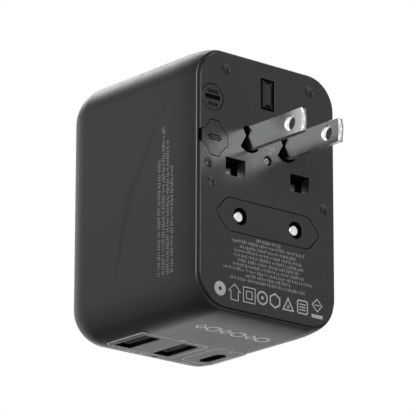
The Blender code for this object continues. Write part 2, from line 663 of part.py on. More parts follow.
def fuse_clip(name, front_y):
    """C-shaped spring clip round the fuse, open towards the side of the shell (-X)."""
    angles = [math.radians(-CLIP_HALF_ANGLE + 2 * CLIP_HALF_ANGLE * k / CLIP_STEPS)
              for k in range(CLIP_STEPS + 1)]
    points = []
    for radius, order in ((CLIP_OUTER, angles), (CLIP_INNER, reversed(angles))):
        points += [(FUSE_X + radius * math.cos(angle), FUSE_Z + radius * math.sin(angle))
                   for angle in order]
    link(name, prism(points, front_y, front_y + CLIP_WIDTH), BRASS)


# main fuse in its pull-out cap
fuse_origin = (FUSE_X, 0, FUSE_Z)
fuse_body = group("fuse_drawer_axis", fuse_origin)
fuse_cap = link("fuse_cap", prism(eared_octagon(), *from_face(0, CAP_THICKNESS)), FACE, fuse_origin)
join(fuse_cap, "stem", prism(circle(FUSE_X, FUSE_Z, FUSE_RADIUS, 20), *from_face(0.4, 2.5)))
adopt(fuse_body, fuse_cap, fuse("main_fuse", FUSE_X, FUSE_Z, FACE_Y + 2.8))
fuse_clip("fuse_clip_front", -23.6)
fuse_clip("fuse_clip_rear", -9.2)

# spare fuse under a coin-turn cap
spare_origin = (SPARE_X, 0, SPARE_Z)
SPARE_CAP_LEVELS = (                      # y, radius
    (FACE_Y, 3.55),
    (FACE_Y + 0.1, 3.65),
    (FACE_Y + CAP_THICKNESS, 3.65),
)
spare_body = group("spare_fuse_axis", spare_origin)
spare_fuse = fuse("spare_fuse", SPARE_FUSE_X, SPARE_Z, FACE_Y + 2.6)
spare_cap_axis = group("spare_cap_axis", spare_origin)
spare_cap = turned("y", SPARE_X, SPARE_Z, 32, SPARE_CAP_LEVELS)
spare_fuse_cap = link("spare_fuse_cap", spare_cap, FACE, spare_origin)
join(spare_fuse_cap, "stem", prism(circle(SPARE_X, SPARE_Z, 2.1, 18), *from_face(0.4, 2.3)))
coin_slot = rounded_rect(SPARE_X, SPARE_Z, 5.1, 1.2, 0.35, 2)
cut(spare_fuse_cap, "coin_slot", prism(coin_slot, *from_face(-1, 0.45)))
adopt(spare_cap_axis, spare_fuse_cap)
adopt(spare_body, spare_fuse, spare_cap_axis)
spare_tube = prism(circle(SPARE_FUSE_X, SPARE_Z, 3.35, 20), -24.2, -3.6)
spare_fuse_tube = link("spare_fuse_tube", spare_tube, BLACK)
cut(spare_fuse_tube, "bore", prism(circle(SPARE_FUSE_X, SPARE_Z, 2.9, 20), -26.0, -4.3))

# ----------------------------------------------------------------- shutter and its spring
SHUTTER_Y = 21.2
SPRING_BOTTOM, SPRING_TOP = 17.3, SOCKET_Z - 4.3
SPRING_RADIUS, WIRE_RADIUS, SPRING_TURNS = 1.05, 0.22, 8
STEPS_PER_TURN, WIRE_SIDES = 10, 6

shutter_origin = (0, SHUTTER_Y, SOCKET_Z)
shutter_plate = box((-15.6, 15.6), span(SHUTTER_Y, 0.6), span(SOCKET_Z, 4.0))
shutter = link("shutter", shutter_plate, BLACK, shutter_origin, smooth=False)
lightening = box((-3.2, 3.2), span(SHUTTER_Y, 1.2), (SOCKET_Z - 1.5, SOCKET_Z + 2.2))
cut(shutter, "lightening", lightening)
adopt(group("shutter_axis", shutter_origin), shutter)


def coil():
    """Compression spring: a round wire swept along an upright helix."""
    rings = []
    steps = SPRING_TURNS * STEPS_PER_TURN
    rise = SPRING_TOP - SPRING_BOTTOM - 2 * WIRE_RADIUS
    for i in range(steps + 1):
        angle = 2 * math.pi * SPRING_TURNS * i / steps
        outward = Vector((math.cos(angle), math.sin(angle), 0))
        centre = Vector((0, SHUTTER_Y, SPRING_BOTTOM + WIRE_RADIUS + rise * i / steps))
        centre += outward * SPRING_RADIUS
        rings.append([centre + outward * u + Vector((0, 0, v))
                      for u, v in circle(0, 0, WIRE_RADIUS, WIRE_SIDES)])
    return loft(rings)


link("shutter_spring", coil(), STEEL)

# ----------------------------------------------------------------- socket contacts and bus bars
CONTACT_X, CONTACT_Y = 10.2, (13.2, 20.2)
CONTACT_WIDTH, CONTACT_HEIGHT, CONTACT_RADIUS, CONTACT_WALL = 11.3, 8.6, 1.2, 0.5
BAR_INNER_X, BAR_OUTER_X = 16.1, 16.9
BAR_Z = (34.0, 37.0)


def contact_outline(x, inset):
    return rounded_rect(x, SOCKET_Z, CONTACT_WIDTH - 2 * inset, CONTACT_HEIGHT - 2 * inset,
                        CONTACT_RADIUS - inset, 3)


def socket_contact(pole, x):
    """Open rectangular sleeve."""
    outer, inner = contact_outline(x, 0.0), contact_outline(x, CONTACT_WALL)
    front, rear = CONTACT_Y
    levels = ((front, outer), (rear, outer), (rear, inner), (front, inner))
    sleeve = loft([ring_at("y", y, outline) for y, outline in levels], closed=True)
    link("socket_contact_" + pole, sleeve, BRASS)


def busbar(pole, sign):
    """Flat bar along y with a small hole near its rear end."""
    low, high = mirrored_span(sign, BAR_INNER_X, BAR_OUTER_X)
    bar = link("busbar_" + pole, box((low, high), (-12.0, 20.0), BAR_Z), BRASS, smooth=False)
    cut(bar, "hole", prism(circle(18.2, sum(BAR_Z) / 2, 0.7, 10), low - 1, high + 1, "x"))


for pole, sign in POLES:
    socket_contact(pole, sign * CONTACT_X)
    busbar(pole, sign)

# ----------------------------------------------------------------- USB board and its screws
BOARD_SCREW_LEVELS = (                    # z, radius
    (8.0, 0.5), (9.0, 0.9), (17.1, 0.9), (17.1 + STEP, 1.8), (18.0, 1.8), (18.3, 1.4),
)
usb_board = link("usb_board", box((-20.6, 20.6), (-8.0, 22.2), (15.3, 16.9)), BOARD, smooth=False)
for side, sign in SIDES:
    x = sign * BOARD_SCREW_X
    cut(usb_board, "hole_" + side, prism(circle(x, BOARD_SCREW_Y, 1.25, 12), 13, 19, "z"))
    screw_solid = turned("z", x, BOARD_SCREW_Y, 14, BOARD_SCREW_LEVELS)
    screw = link("board_screw_" + side, screw_solid, STEEL)
    cut(screw, "drive", prism(rect(x, BOARD_SCREW_Y, 2.2, 0.5), 17.8, 19.0, "z"))

# ----------------------------------------------------------------- USB receptacles
CAN_TOP, MOUTH_TOP, TONGUE_TOP = 15.0, 14.4, 14.1
CAN_A, MOUTH_A = (5.0, 12.3, 0.4, 2), (4.4, 11.7, 0.25, 2)       # x, y size, radius, steps
CAN_C, MOUTH_C = (3.05, 8.75, 1.5, 6), (2.5, 8.2, 1.24, 6)
TONGUE_C = (0.7, 6.6, 0.3, 2)


def usb_shell(name, x, bottom, outer, mouth):
    """Metal shell of a receptacle, open downwards."""
    can = link(name, prism(rounded_rect(x, USB_Y, *outer), bottom, CAN_TOP, "z"), STEEL)
    cut(can, "mouth", prism(rounded_rect(x, USB_Y, *mouth), -1.0, MOUTH_TOP, "z"))


for side, x in (("left", -USB_X), ("right", 0.0)):
    usb_shell("usb_a_%s_shell" % side, x, 0.9, CAN_A, MOUTH_A)
    tongue = box((x + 0.55, x + 1.95), span(USB_Y, 5.4), (2.6, TONGUE_TOP))
    link("usb_a_%s_tongue" % side, tongue, BLACK, smooth=False)
usb_shell("usb_c_shell", USB_X, 0.7, CAN_C, MOUTH_C)
link("usb_c_tongue", prism(rounded_rect(USB_X, USB_Y, *TONGUE_C), 1.6, TONGUE_TOP, "z"), BLACK)

# ----------------------------------------------------------------- parts on the USB board
PART_BOTTOM = 17.2
ROUND_PARTS = (    # name, x, y, sides, material, (z, radius) levels
    ("led_light_pipe", 0, LED_Y, 12, LENS, ((0.15, 0.45), (2.4, 0.45), (2.6, 0.9), (15.0, 0.9))),
    ("input_capacitor", -13.8, 16.6, 20, STEEL, ((PART_BOTTOM, 3.0), (29.2, 3.0), (29.6, 2.6))),
    ("output_capacitor", 13.4, 15.9, 20, STEEL, ((PART_BOTTOM, 2.4), (26.2, 2.4), (26.6, 2.0))),
)
for name, x, y, sides, material, levels in ROUND_PARTS:
    link(name, turned("z", x, y, sides, levels), material)
link("transformer", prism(rounded_rect(0, 16.2, 15.0, 5.6, 0.8, 3), PART_BOTTOM, 29.5, "z"), CORE)
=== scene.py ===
"""Universal travel adapter: fine shell, plug and socket faces, pins, ports and prints on the frame.

The body stands upright, x = 0 in its middle and z = 0 at its bottom. The plug face looks to -Y
(front), the socket face to +Y (back), the sliders are on the +X side and the USB ports open down.
Lengths are millimetres in the frame's axes, except in shaders, camera and floor, which use metres.
Pieces are built in place.
"""

import json
import math
import random

import bpy
import bmesh
from mathutils import Matrix, Vector

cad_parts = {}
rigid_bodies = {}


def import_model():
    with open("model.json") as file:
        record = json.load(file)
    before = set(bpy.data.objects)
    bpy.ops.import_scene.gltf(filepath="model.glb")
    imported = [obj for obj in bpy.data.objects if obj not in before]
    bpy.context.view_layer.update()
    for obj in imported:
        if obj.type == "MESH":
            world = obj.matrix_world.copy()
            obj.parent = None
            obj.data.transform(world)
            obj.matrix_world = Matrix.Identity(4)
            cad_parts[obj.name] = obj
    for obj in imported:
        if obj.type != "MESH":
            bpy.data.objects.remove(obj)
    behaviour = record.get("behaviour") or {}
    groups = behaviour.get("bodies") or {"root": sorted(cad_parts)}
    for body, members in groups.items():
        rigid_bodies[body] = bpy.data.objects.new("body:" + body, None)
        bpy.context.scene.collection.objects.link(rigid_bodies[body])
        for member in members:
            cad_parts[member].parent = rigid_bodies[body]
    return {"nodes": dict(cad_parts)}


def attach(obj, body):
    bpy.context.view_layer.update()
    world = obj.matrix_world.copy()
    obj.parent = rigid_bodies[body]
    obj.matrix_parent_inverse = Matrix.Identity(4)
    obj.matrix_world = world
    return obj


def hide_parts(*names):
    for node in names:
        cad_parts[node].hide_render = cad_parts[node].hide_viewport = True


for old in list(bpy.data.objects):
    bpy.data.objects.remove(old, do_unlink=True)

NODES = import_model()["nodes"]
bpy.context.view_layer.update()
MM = 0.001
SIDES = (-1, 1)

# ------------------------------------------------------------------ shared dimensions (mm)
BODY_W, BODY_H = 49.4, 71.7
HALF_W, MID_Z = BODY_W / 2, BODY_H / 2
FACE_Y, RIM_Y = -27.7, -26.85                # plug face, front rim of the shell
BACK_Y = -FACE_Y                             # socket face
CORNER_R, WALL = 9.6, 2.0
TAPER_IN, TAPER_L, RIM_R = 1.35, 10.0, 0.5   # front end: narrowing, its length, rim rounding
BACK_R, BACK_CUT = 12.0, 2.0                 # back end: roll radius, part of it that is cut off
ROLL_Y = BACK_Y + BACK_CUT - BACK_R
LIP_Y = 24.9                                 # step that the socket face rests on
PLATE_W, PLATE_Z0, PLATE_Z1, PLATE_R = 46.0, 1.6, 70.15, 8.6
FLANGE_T, PLATE_T, SPIGOT_IN = 0.75, 3.2, 1.5
EARTH_RISE = 22.225                          # UK earth pin above the two power pins
Z_LN, Z_US, Z_EU, Z_SCREW = 39.375, 48.87, 26.55, 43.5
Z_EARTH = Z_LN + EARTH_RISE
X_UK, X_US, X_EU = 11.11, 6.35, 9.5
US_DROP, US_BLADE_OUT = 0.72, 21.9
EU_PIN_TRAVEL = 19.6
BLOCK_BACK = FACE_Y + 14.0
EU_TIP, LN_TIP, EARTH_TIP = FACE_Y + 0.55, FACE_Y + 4.7, FACE_Y - 0.3
PIN_END = -1.8                               # inner end of the UK pins
FUSE_X, FUSE_Z, FUSE_R, FUSE_L = -18.2, 46.0, 2.6, 20.0
FUSE_Y, SPARE_Y = FACE_Y + 2.8, FACE_Y + 2.6  # front ends of the two fuses
SPARE_X, SPARE_Z, SPARE_FUSE_X = -18.9, 56.95, -18.3
CAP_X = SPARE_X - 0.06
USB_X, USB_Y = 13.0, 9.65
SOCKET_Z = 36.0
TRACK_X = HALF_W - 0.9                       # floor of the slider track
# z and y of each knob, then its travel from there towards -Y and +Y
KNOBS = {
    "uk": (56.0, 7.0, -22.4, 0.0),
    "us": (42.0, -15.0, 0.0, 22.1),
    "eu": (28.0, 14.0, -10.0 - EU_PIN_TRAVEL, 0.0),
}


# ------------------------------------------------------------------ outlines
def soft_rect(x, z, wide, high, radius, steps=6):
    """Rectangle about x, z with round corners of so many steps."""
    points = []
    for side, end, start in ((1, 1, 0), (-1, 1, 90), (-1, -1, 180), (1, -1, 270)):
        for k in range(steps + 1):
            turn = math.radians(start + 90 * k / steps)
            points.append((x + side * (wide / 2 - radius) + radius * math.cos(turn),
                           z + end * (high / 2 - radius) + radius * math.sin(turn)))
    return points


def rect(x0, z0, x1, z1):
    return [(x0, z0), (x1, z0), (x1, z1), (x0, z1)]


def circle(x, z, radius, steps=48, start=0.0):
    turns = [start + 2 * math.pi * k / steps for k in range(steps)]
    return [(x + radius * math.cos(turn), z + radius * math.sin(turn)) for turn in turns]


def tilted(x, z, wide, high, degrees):
    cos, sin = math.cos(math.radians(degrees)), math.sin(math.radians(degrees))
    corners = rect(-wide / 2, -high / 2, wide / 2, high / 2)
    return [(x + a * cos - b * sin, z + a * sin + b * cos) for a, b in corners]


def ccw(outline):
    """The outline, turned round if it runs clockwise."""
    pairs = zip(outline, outline[1:] + outline[:1])
    area = sum(a[0] * b[1] - b[0] * a[1] for a, b in pairs)
    return list(outline) if area > 0 else list(reversed(outline))


def grown(outline, grow):
    """The outline moved outwards along its mitres; it runs counterclockwise."""
    if abs(grow) < 1e-9:
        return list(outline)
    points = []
    for i, corner in enumerate(outline):
        corner = Vector(corner)
        before, after = Vector(outline[i - 1]), Vector(outline[(i + 1) % len(outline)])
        arrive, leave = (corner - before).normalized(), (after - corner).normalized()
        out_in, out_on = Vector((arrive.y, -arrive.x)), Vector((leave.y, -leave.x))
        stretch = max(1 + out_in.dot(out_on), 0.35)
        points.append(tuple(corner + (out_in + out_on) * (grow / stretch)))
    return points


def soft_polygon(corners, radii, steps):
    """Polygon with an arc at each corner."""
    points = []
    for i, (corner, radius) in enumerate(zip(corners, radii)):
        corner = Vector(corner)
        back = (Vector(corners[i - 1]) - corner).normalized()
        ahead = (Vector(corners[(i + 1) % len(corners)]) - corner).normalized()
        half = back.angle(ahead) / 2
        reach = radius / math.tan(half)
        centre = corner + (back + ahead).normalized() * (radius / math.sin(half))
        first, last = corner + back * reach - centre, corner + ahead * reach - centre
        start, end = math.atan2(first.y, first.x), math.atan2(last.y, last.x)
        while end - start > math.pi:
            end -= 2 * math.pi
        while end - start < -math.pi:
            end += 2 * math.pi
        for k in range(steps + 1):
            turn = start + (end - start) * k / steps
            points.append((centre.x + radius * math.cos(turn),
                           centre.y + radius * math.sin(turn)))
    return points


def hexagon(grow=0.0):
    """Long hexagon of the EU block."""
    tip, shoulder, half = 17.75 + grow * 1.15, 13.95 + grow * 0.6, 4.35 + grow
    corners = [(tip, 0), (shoulder, half), (-shoulder, half),
               (-tip, 0), (-shoulder, -half), (shoulder, -half)]
    radii = [1.0 + grow, 3.0 + grow, 3.0 + grow] * 2
    return soft_polygon([(x, z + Z_EU) for x, z in corners], radii, 10)


# One quarter of the fuse drawer cap: x, z from its middle
EAR_QUARTER = ((4.35, 0), (4.35, 1.5), (4.1, 1.78), (3.55, 1.95),
               (1.98, 3.6), (1.72, 4.3), (1.35, 4.7), (0, 4.7))


def ear_octagon(grow=0.0):
    """Fuse drawer cap: an octagon with an ear on each side."""
    scale = 1 + grow / 4.2
    part = [(x * scale, z * scale) for x, z in EAR_QUARTER]
    full = part + [(-x, z) for x, z in reversed(part[:-1])]
    full += [(-x, -z) for x, z in part[1:]] + [(x, -z) for x, z in reversed(part[1:-1])]
    return ccw([(FUSE_X + x, FUSE_Z + z) for x, z in full])


def bow_tie(x, z):
    """Aperture of a swinging blade: an upper and a lower fan that meet at a waist."""
    half, swing, steps = 1.0, 30.0, 14
    waist = half / math.cos(math.radians(swing))
    points = []
    for middle, radius, side in ((90, 2.85, 1), (270, 4.42, -1)):
        fan = swing + math.degrees(math.asin(half / radius))
        points.append((x + side * waist, z))
        for k in range(steps + 1):
            turn = math.radians(middle - fan + 2 * fan * k / steps)
            points.append((x + radius * math.cos(turn), z + radius * math.sin(turn)))
    return points


def inside(outline, x, z):
    hit = False
    for (x0, z0), (x1, z1) in zip(outline, outline[1:] + outline[:1]):
        if (z0 > z) != (z1 > z) and x < (x1 - x0) * (z - z0) / (z1 - z0) + x0:
            hit = not hit
    return hit


# ------------------------------------------------------------------ solids
# Places an outline point (a, b) at level c along the named axis
AXES = {
    "x": lambda a, b, c: (c, a, b),
    "y": lambda a, b, c: (a, c, b),
    "z": lambda a, b, c: (a, b, c),
}


def band(mesh, first, second):
    """Closed strip of quads between two rings of vertices."""
    count = len(first)
    for i in range(count):
        j = (i + 1) % count
        mesh.faces.new((first[i], first[j], second[j], second[i]))


def stack(axis, *levels):
    """Solid through (level, outline) pairs, closed at both ends."""
    mesh = bmesh.new()
    place = AXES[axis]
    rings = [[mesh.verts.new(Vector(place(a, b, level)) * MM) for a, b in outline]
             for level, outline in levels]
    for first, second in zip(rings, rings[1:]):
        band(mesh, first, second)
    mesh.faces.new(rings[0])
    mesh.faces.new(list(reversed(rings[-1])))
    bmesh.ops.recalc_face_normals(mesh, faces=mesh.faces)
    return mesh


def faceted(points, faces):
    """Solid from corner points and faces given by their indices."""
    mesh = bmesh.new()
    corners = [mesh.verts.new(Vector(point) * MM) for point in points]
    for face in faces:
        mesh.faces.new([corners[i] for i in face])
    bmesh.ops.recalc_face_normals(mesh, faces=mesh.faces)
    return mesh


def prism(outline, low, high, axis="y"):
    return stack(axis, (low, outline), (high, outline))


def block(x0, x1, y0, y1, z0, z1):
    return prism(rect(x0, z0, x1, z1), y0, y1)


def turned(x, z, front, profile, steps=48, axis="y"):
    """Round solid from (distance behind front, radius) pairs."""
    levels = ((front + depth, circle(x, z, radius, steps)) for depth, radius in profile)
    return stack(axis, *levels)


def quarter(steps):
    """Quarter round of radius 1 as (depth, inset) pairs, from the flat end to the side."""
    turns = [math.radians(90 * k / steps) for k in range(steps + 1)]
    return [(1 - math.cos(turn), 1 - math.sin(turn)) for turn in turns]


def mouth(axis, outline, surface, inward, deep, radius, steps=4, floor_r=0.0):
    """Cutter for a hole with a rounded rim, from outside surface to deep along inward (+1 or -1).
    With floor_r the bottom edge of a blind pocket is rounded too."""
    outline = ccw(outline)
    levels = [(surface - inward * 1.2, grown(outline, radius))]
    for depth, inset in quarter(steps):
        levels.append((surface + inward * radius * depth, grown(outline, radius * inset)))
    if floor_r:
        for depth, inset in quarter(steps):
            levels.append((surface + inward * (deep - floor_r * inset),
                           grown(outline, -floor_r * depth)))
    else:
        levels.append((surface + inward * deep, outline))
    return stack(axis, *levels)


def rounded(axis, outline, low, high, r_low, r_high, steps=4):
    """Prism with rounded end edges; radius 0 leaves an end crisp."""
    outline = ccw(outline)
    start, end = [(low, outline)], [(high, outline)]
    if r_low:
        start = [(low + r_low * depth, grown(outline, -r_low * inset))
                 for depth, inset in quarter(steps)]
    if r_high:
        end = [(high - r_high * depth, grown(outline, -r_high * inset))
               for depth, inset in reversed(quarter(steps))]
    return stack(axis, *start, *end)


def new_object(name, mesh_data):
    """Object in the scene from a bmesh, which is freed."""
    mesh = bpy.data.meshes.new(name)
    mesh_data.to_mesh(mesh)
    mesh_data.free()
    made = bpy.data.objects.new(name, mesh)
    bpy.context.scene.collection.objects.link(made)
    return made


class Solid:
    """A mesh object that collects Boolean cutters, applied in one go."""

    def __init__(self, name, mesh_data):
        self.obj = new_object(name, mesh_data)
        self.tools = []

    def use(self, mesh_data, operation):
        tool = new_object("tool", mesh_data)
        modifier = self.obj.modifiers.new("cut", "BOOLEAN")
        modifier.operation, modifier.solver, modifier.object = operation, "EXACT", tool
        self.tools.append(tool)

    def cut(self, mesh_data):
        self.use(mesh_data, "DIFFERENCE")

    def add(self, mesh_data):
        self.use(mesh_data, "UNION")

    def apply_tools(self):
        bpy.context.view_layer.update()
        graph = bpy.context.evaluated_depsgraph_get()
        mesh = bpy.data.meshes.new_from_object(self.obj.evaluated_get(graph), depsgraph=graph)
        self.obj.modifiers.clear()
        uncut = self.obj.data
        self.obj.data = mesh
        bpy.data.meshes.remove(uncut)
        for tool in self.tools:
            tool_mesh = tool.data
            bpy.data.objects.remove(tool)
            bpy.data.meshes.remove(tool_mesh)
        mesh.name = self.obj.name
        clean = bmesh.new()
        clean.from_mesh(mesh)
        bmesh.ops.remove_doubles(clean, verts=clean.verts, dist=2e-7)
        bmesh.ops.dissolve_degenerate(clean, dist=1e-7, edges=clean.edges)
        clean.to_mesh(mesh)
        clean.free()

    def done(self, sharp):
        """Applies the tools and shades smooth, with edges above sharp degrees kept crisp."""
        if self.tools:
            self.apply_tools()
        mesh = self.obj.data
        mesh.shade_smooth()
        mesh.set_sharp_from_angle(angle=math.radians(sharp))
        weighted = self.obj.modifiers.new("weighted", "WEIGHTED_NORMAL")
        weighted.keep_sharp, weighted.weight, weighted.mode = True, 50, "FACE_AREA"
        return self.obj


def paint(obj, material, where):
    """Further material slot for the faces where where(x, y, z, normal) holds at their centre."""
    obj.data.materials.append(material)
    index = len(obj.data.materials) - 1
    for face in obj.data.polygons:
        if where(*(face.center / MM), face.normal):
            face.material_index = index


def finish(obj, material, body, slot_name, *nodes):
    obj.data.materials.clear()
    obj.data.materials.append(material)
    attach(obj, body)
    if nodes:
        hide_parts(*nodes)
    return obj


# ------------------------------------------------------------------ shader helpers
class Graph:
    """Node tree with short ways to add nodes; a value is a number, a tuple or a socket."""

    def __init__(self, tree):
        self.tree = tree

    def put(self, socket, value):
        """Links or sets an input; a colour gets alpha 1."""
        if isinstance(value, bpy.types.NodeSocket):
            self.tree.links.new(value, socket)
        elif isinstance(value, tuple) and socket.type == "RGBA":
            socket.default_value = (*value, 1)
        else:
            socket.default_value = value

    def new(self, kind, inputs=None, **settings):
        node = self.tree.nodes.new(kind)
        for key, value in settings.items():
            setattr(node, key, value)
        for key, value in (inputs or {}).items():
            self.put(node.inputs[key], value)
        return node

    def calc(self, operation, *values):
        return self.new("ShaderNodeMath", dict(enumerate(values)), operation=operation).outputs[0]

    def dot(self, first, second):
        inputs = {0: first, 1: second}
        node = self.new("ShaderNodeVectorMath", inputs, operation="DOT_PRODUCT")
        return node.outputs["Value"]

    def ranged(self, value, span=(0.3, 0.7), to=(0.0, 1.0), **settings):
        """Maps span to the range to, clamped."""
        inputs = {"Value": value, "From Min": span[0], "From Max": span[1],
                  "To Min": to[0], "To Max": to[1]}
        return self.new("ShaderNodeMapRange", inputs, clamp=True, **settings).outputs["Result"]


class Shader(Graph):
    """Material with a principled surface and object coordinates (metres)."""

    def __init__(self, name):
        self.material = bpy.data.materials.new(name)
        self.material.use_nodes = True
        super().__init__(self.material.node_tree)
        self.surface = self.tree.nodes["Principled BSDF"]
        self.output = self.tree.nodes["Material Output"]
        self.place = self.new("ShaderNodeTexCoord").outputs["Object"]

    def noise(self, scale, detail=2.0, rough=0.5, stretch=None, distortion=0.0):
        place = self.place
        if stretch:
            mapping = self.new("ShaderNodeMapping", {"Vector": place, "Scale": stretch})
            place = mapping.outputs["Vector"]
        inputs = {"Vector": place, "Scale": scale, "Detail": detail,
                  "Roughness": rough, "Distortion": distortion}
        return self.new("ShaderNodeTexNoise", inputs).outputs["Fac"]

    def mix(self, factor, first, second):
        inputs = {0: factor, 6: first, 7: second}
        return self.new("ShaderNodeMix", inputs, data_type="RGBA").outputs[2]

    def bump(self, *layers):
        """Chains layers of (height, distance in metres, strength)."""
        normal = None
        for height, distance, strength in layers:
            inputs = {"Height": height, "Distance": distance, "Strength": strength}
            if normal is not None:
                inputs["Normal"] = normal
            normal = self.new("ShaderNodeBump", inputs).outputs["Normal"]
        self.put(self.surface.inputs["Normal"], normal)

    def edges(self, radius):
        """1 on edges, from the angle between the true normal and a rounded one; it marks where
        edges are painted lighter, partly as wear and partly as a painted highlight.
        """
        bevel = self.new("ShaderNodeBevel", {"Radius": radius}, samples=4)
        geometry = self.new("ShaderNodeNewGeometry")
        agreement = self.dot(bevel.outputs["Normal"], geometry.outputs["Normal"])
        return self.ranged(self.calc("SUBTRACT", 1.0, agreement), span=(0.02, 0.25))

    def set(self, **values):
        for key, value in values.items():
            self.put(self.surface.inputs[key.replace("_", " ")], value)


def scaled(tone, factor, lift=0.0):
    """The colour made lighter or darker, held at 1."""
    return tuple(min(channel * factor + lift, 1) for channel in tone)


# ------------------------------------------------------------------ materials
def plastic(name, tone, rough, grain=5200.0, grain_deep=12e-6, spec=0.5,
            wear_and_highlight=0.25, vary=0.12, fleck=0.35):
    """Moulded plastic: fine spark-eroded grain, faint flow clouding, edges painted lighter, partly
    as rubbing and partly as a painted highlight.
    """
    m = shader = Shader(name)
    fine = shader.noise(grain, detail=2.0, rough=0.6)
    mid = shader.noise(900.0, detail=3.0, rough=0.55)
    cloud = shader.noise(55.0, detail=3.0)
    speck_inputs = {"Vector": shader.place, "Scale": grain * 0.55}
    speck = shader.new("ShaderNodeTexVoronoi", speck_inputs, feature="F1").outputs["Distance"]
    colour = shader.mix(shader.ranged(cloud), scaled(tone, 1 - vary), scaled(tone, 1 + vary))
    flecked = shader.ranged(fine, span=(0.35, 0.75), to=(0.0, fleck))
    colour = shader.mix(flecked, colour, scaled(tone, 1.35))
    patchy = shader.ranged(mid, span=(0.35, 0.65), to=(0.4, 1.0))
    # Edges painted lighter: partly rubbed wear, partly a painted highlight
    edge = shader.calc("MULTIPLY", shader.edges(radius=0.00025), patchy)
    worn_and_highlit = shader.calc("MULTIPLY", edge, wear_and_highlight)
    colour = shader.mix(worn_and_highlit, colour, scaled(tone, 2.2, lift=0.01))
    roughness = shader.calc("ADD", shader.ranged(mid, to=(rough - 0.04, rough + 0.04)),
                            shader.ranged(cloud, to=(-0.02, 0.02)))
    roughness = shader.calc("SUBTRACT", roughness, shader.calc("MULTIPLY", edge, 0.06))
    shader.set(Base_Color=colour, Specular_IOR_Level=spec, Roughness=roughness)
    shader.bump((fine, grain_deep, 0.35), (speck, grain_deep, 0.2), (mid, grain_deep * 2, 0.12))
    return shader.material


# Noise scale of drawn metal: low along the streaks, high across them
DRAWN = {
    "x": (120.0, 9000.0, 9000.0),
    "y": (9000.0, 120.0, 9000.0),
    "z": (9000.0, 9000.0, 120.0),
}


def metal(name, tone, rough, along="y", streak=0.5, wear_and_highlight=0.3, calm=1.0, glow=0.0, metallic=1.0):
    """Plated or stamped metal: drawn streaks along one axis, faint handling marks.
    A low calm weakens clouds and scuffs; glow is a painted glow, emission that stands for light
    scattered by pale surroundings."""
    shader = Shader(name)
    drawn = shader.noise(1.0, detail=3.0, rough=0.6, stretch=DRAWN[along])
    cloud = shader.noise(160.0, detail=3.0)
    scuff = shader.noise(2200.0, detail=4.0, rough=0.65, distortion=0.6)
    colour = shader.mix(shader.ranged(drawn), scaled(tone, 1 - 0.08 * calm),
                        scaled(tone, 1 + 0.05 * calm))
    dulled = shader.ranged(cloud, span=(0.45, 0.75), to=(0.0, 0.35 * calm))
    colour = shader.mix(dulled, colour, scaled(tone, 0.86))
    # Edges painted lighter: partly wear, partly a painted highlight
    worn_and_highlit = shader.calc("MULTIPLY", shader.edges(radius=0.0002), wear_and_highlight)
    colour = shader.mix(worn_and_highlit, colour, scaled(tone, 1.15))
    shader.set(Base_Color=colour, Metallic=metallic)
    # Painted glow: emission in place of light scattered by pale surroundings
    if glow:
        shader.set(Emission_Color=colour, Emission_Strength=glow)
    shader.set(Roughness=shader.calc(
        "ADD",
        shader.ranged(drawn, to=(rough - 0.05 * calm, rough + 0.06 * calm)),
        shader.ranged(scuff, span=(0.55, 0.8), to=(0.0, 0.08 * calm))))
    shader.bump((drawn, 4e-6, streak * 0.3), (scuff, 6e-6, 0.15 * calm))
    return shader.material


def ink(name, tone, rough=0.55, silver=0.0):
    """Pad-printed ink: slightly patchy cover."""
    shader = Shader(name)
    patch = shader.noise(2600.0, detail=3.0, rough=0.6)
    cloud = shader.noise(90.0)
    colour = shader.mix(shader.ranged(patch, span=(0.35, 0.7)), scaled(tone, 0.84), tone)
    colour = shader.mix(shader.ranged(cloud, to=(0.0, 0.3)), colour, scaled(tone, 0.8))
    shader.set(Base_Color=colour, Specular_IOR_Level=0.35 + silver / 3, Metallic=silver,
               Roughness=shader.ranged(patch, to=(rough - 0.05, rough + 0.08)))
    shader.bump((patch, 6e-6, 0.25))
    return shader.material


def solder_mask(name):
    """Green board with faint raised traces."""
    shader = Shader(name)
    cloud, fine = shader.noise(70.0), shader.noise(3000.0)
    trace = shader.noise(420.0, detail=0.0)
    colour = shader.mix(shader.ranged(cloud), (0.012, 0.10, 0.045), (0.02, 0.15, 0.07))
    off_line = shader.calc("ABSOLUTE", shader.calc("SUBTRACT", trace, 0.5))
    lines = shader.ranged(off_line, span=(0.0, 0.02), to=(1.0, 0.0))
    colour = shader.mix(shader.calc("MULTIPLY", lines, 0.6), colour, (0.04, 0.24, 0.11))
    shader.set(Base_Color=colour, Roughness=shader.ranged(fine, to=(0.28, 0.42)),
               Coat_Weight=0.3)
    shader.bump((lines, 2e-5, 0.4), (fine, 5e-6, 0.2))
    return shader.material


def ceramic(name, front_y):
    """Fuse: white ceramic tube between two nickel end caps, told apart along Y."""
    cap_l = 5.02                                               # just beyond the modelled cap
    shader = Shader(name)
    y = shader.new("ShaderNodeSeparateXYZ", {0: shader.place}).outputs["Y"]
    front = shader.calc("LESS_THAN", y, (front_y + cap_l) * MM)
    rear = shader.calc("GREATER_THAN", y, (front_y + FUSE_L - cap_l) * MM)
    cap = shader.calc("MAXIMUM", front, rear)
    fine, cloud = shader.noise(2600.0, detail=3.0), shader.noise(140.0)
    white = shader.mix(shader.ranged(cloud), (0.60, 0.58, 0.54), (0.70, 0.69, 0.65))
    steel = shader.mix(shader.ranged(fine), (0.52, 0.52, 0.50), (0.66, 0.66, 0.64))
    shader.set(Base_Color=shader.mix(cap, white, steel), Metallic=cap)
    shader.set(Roughness=shader.calc("ADD", shader.ranged(fine, to=(0.22, 0.34)),
                                     shader.calc("MULTIPLY", cap, 0.03)))
    shader.bump((fine, 8e-6, 0.2))
    return shader.material


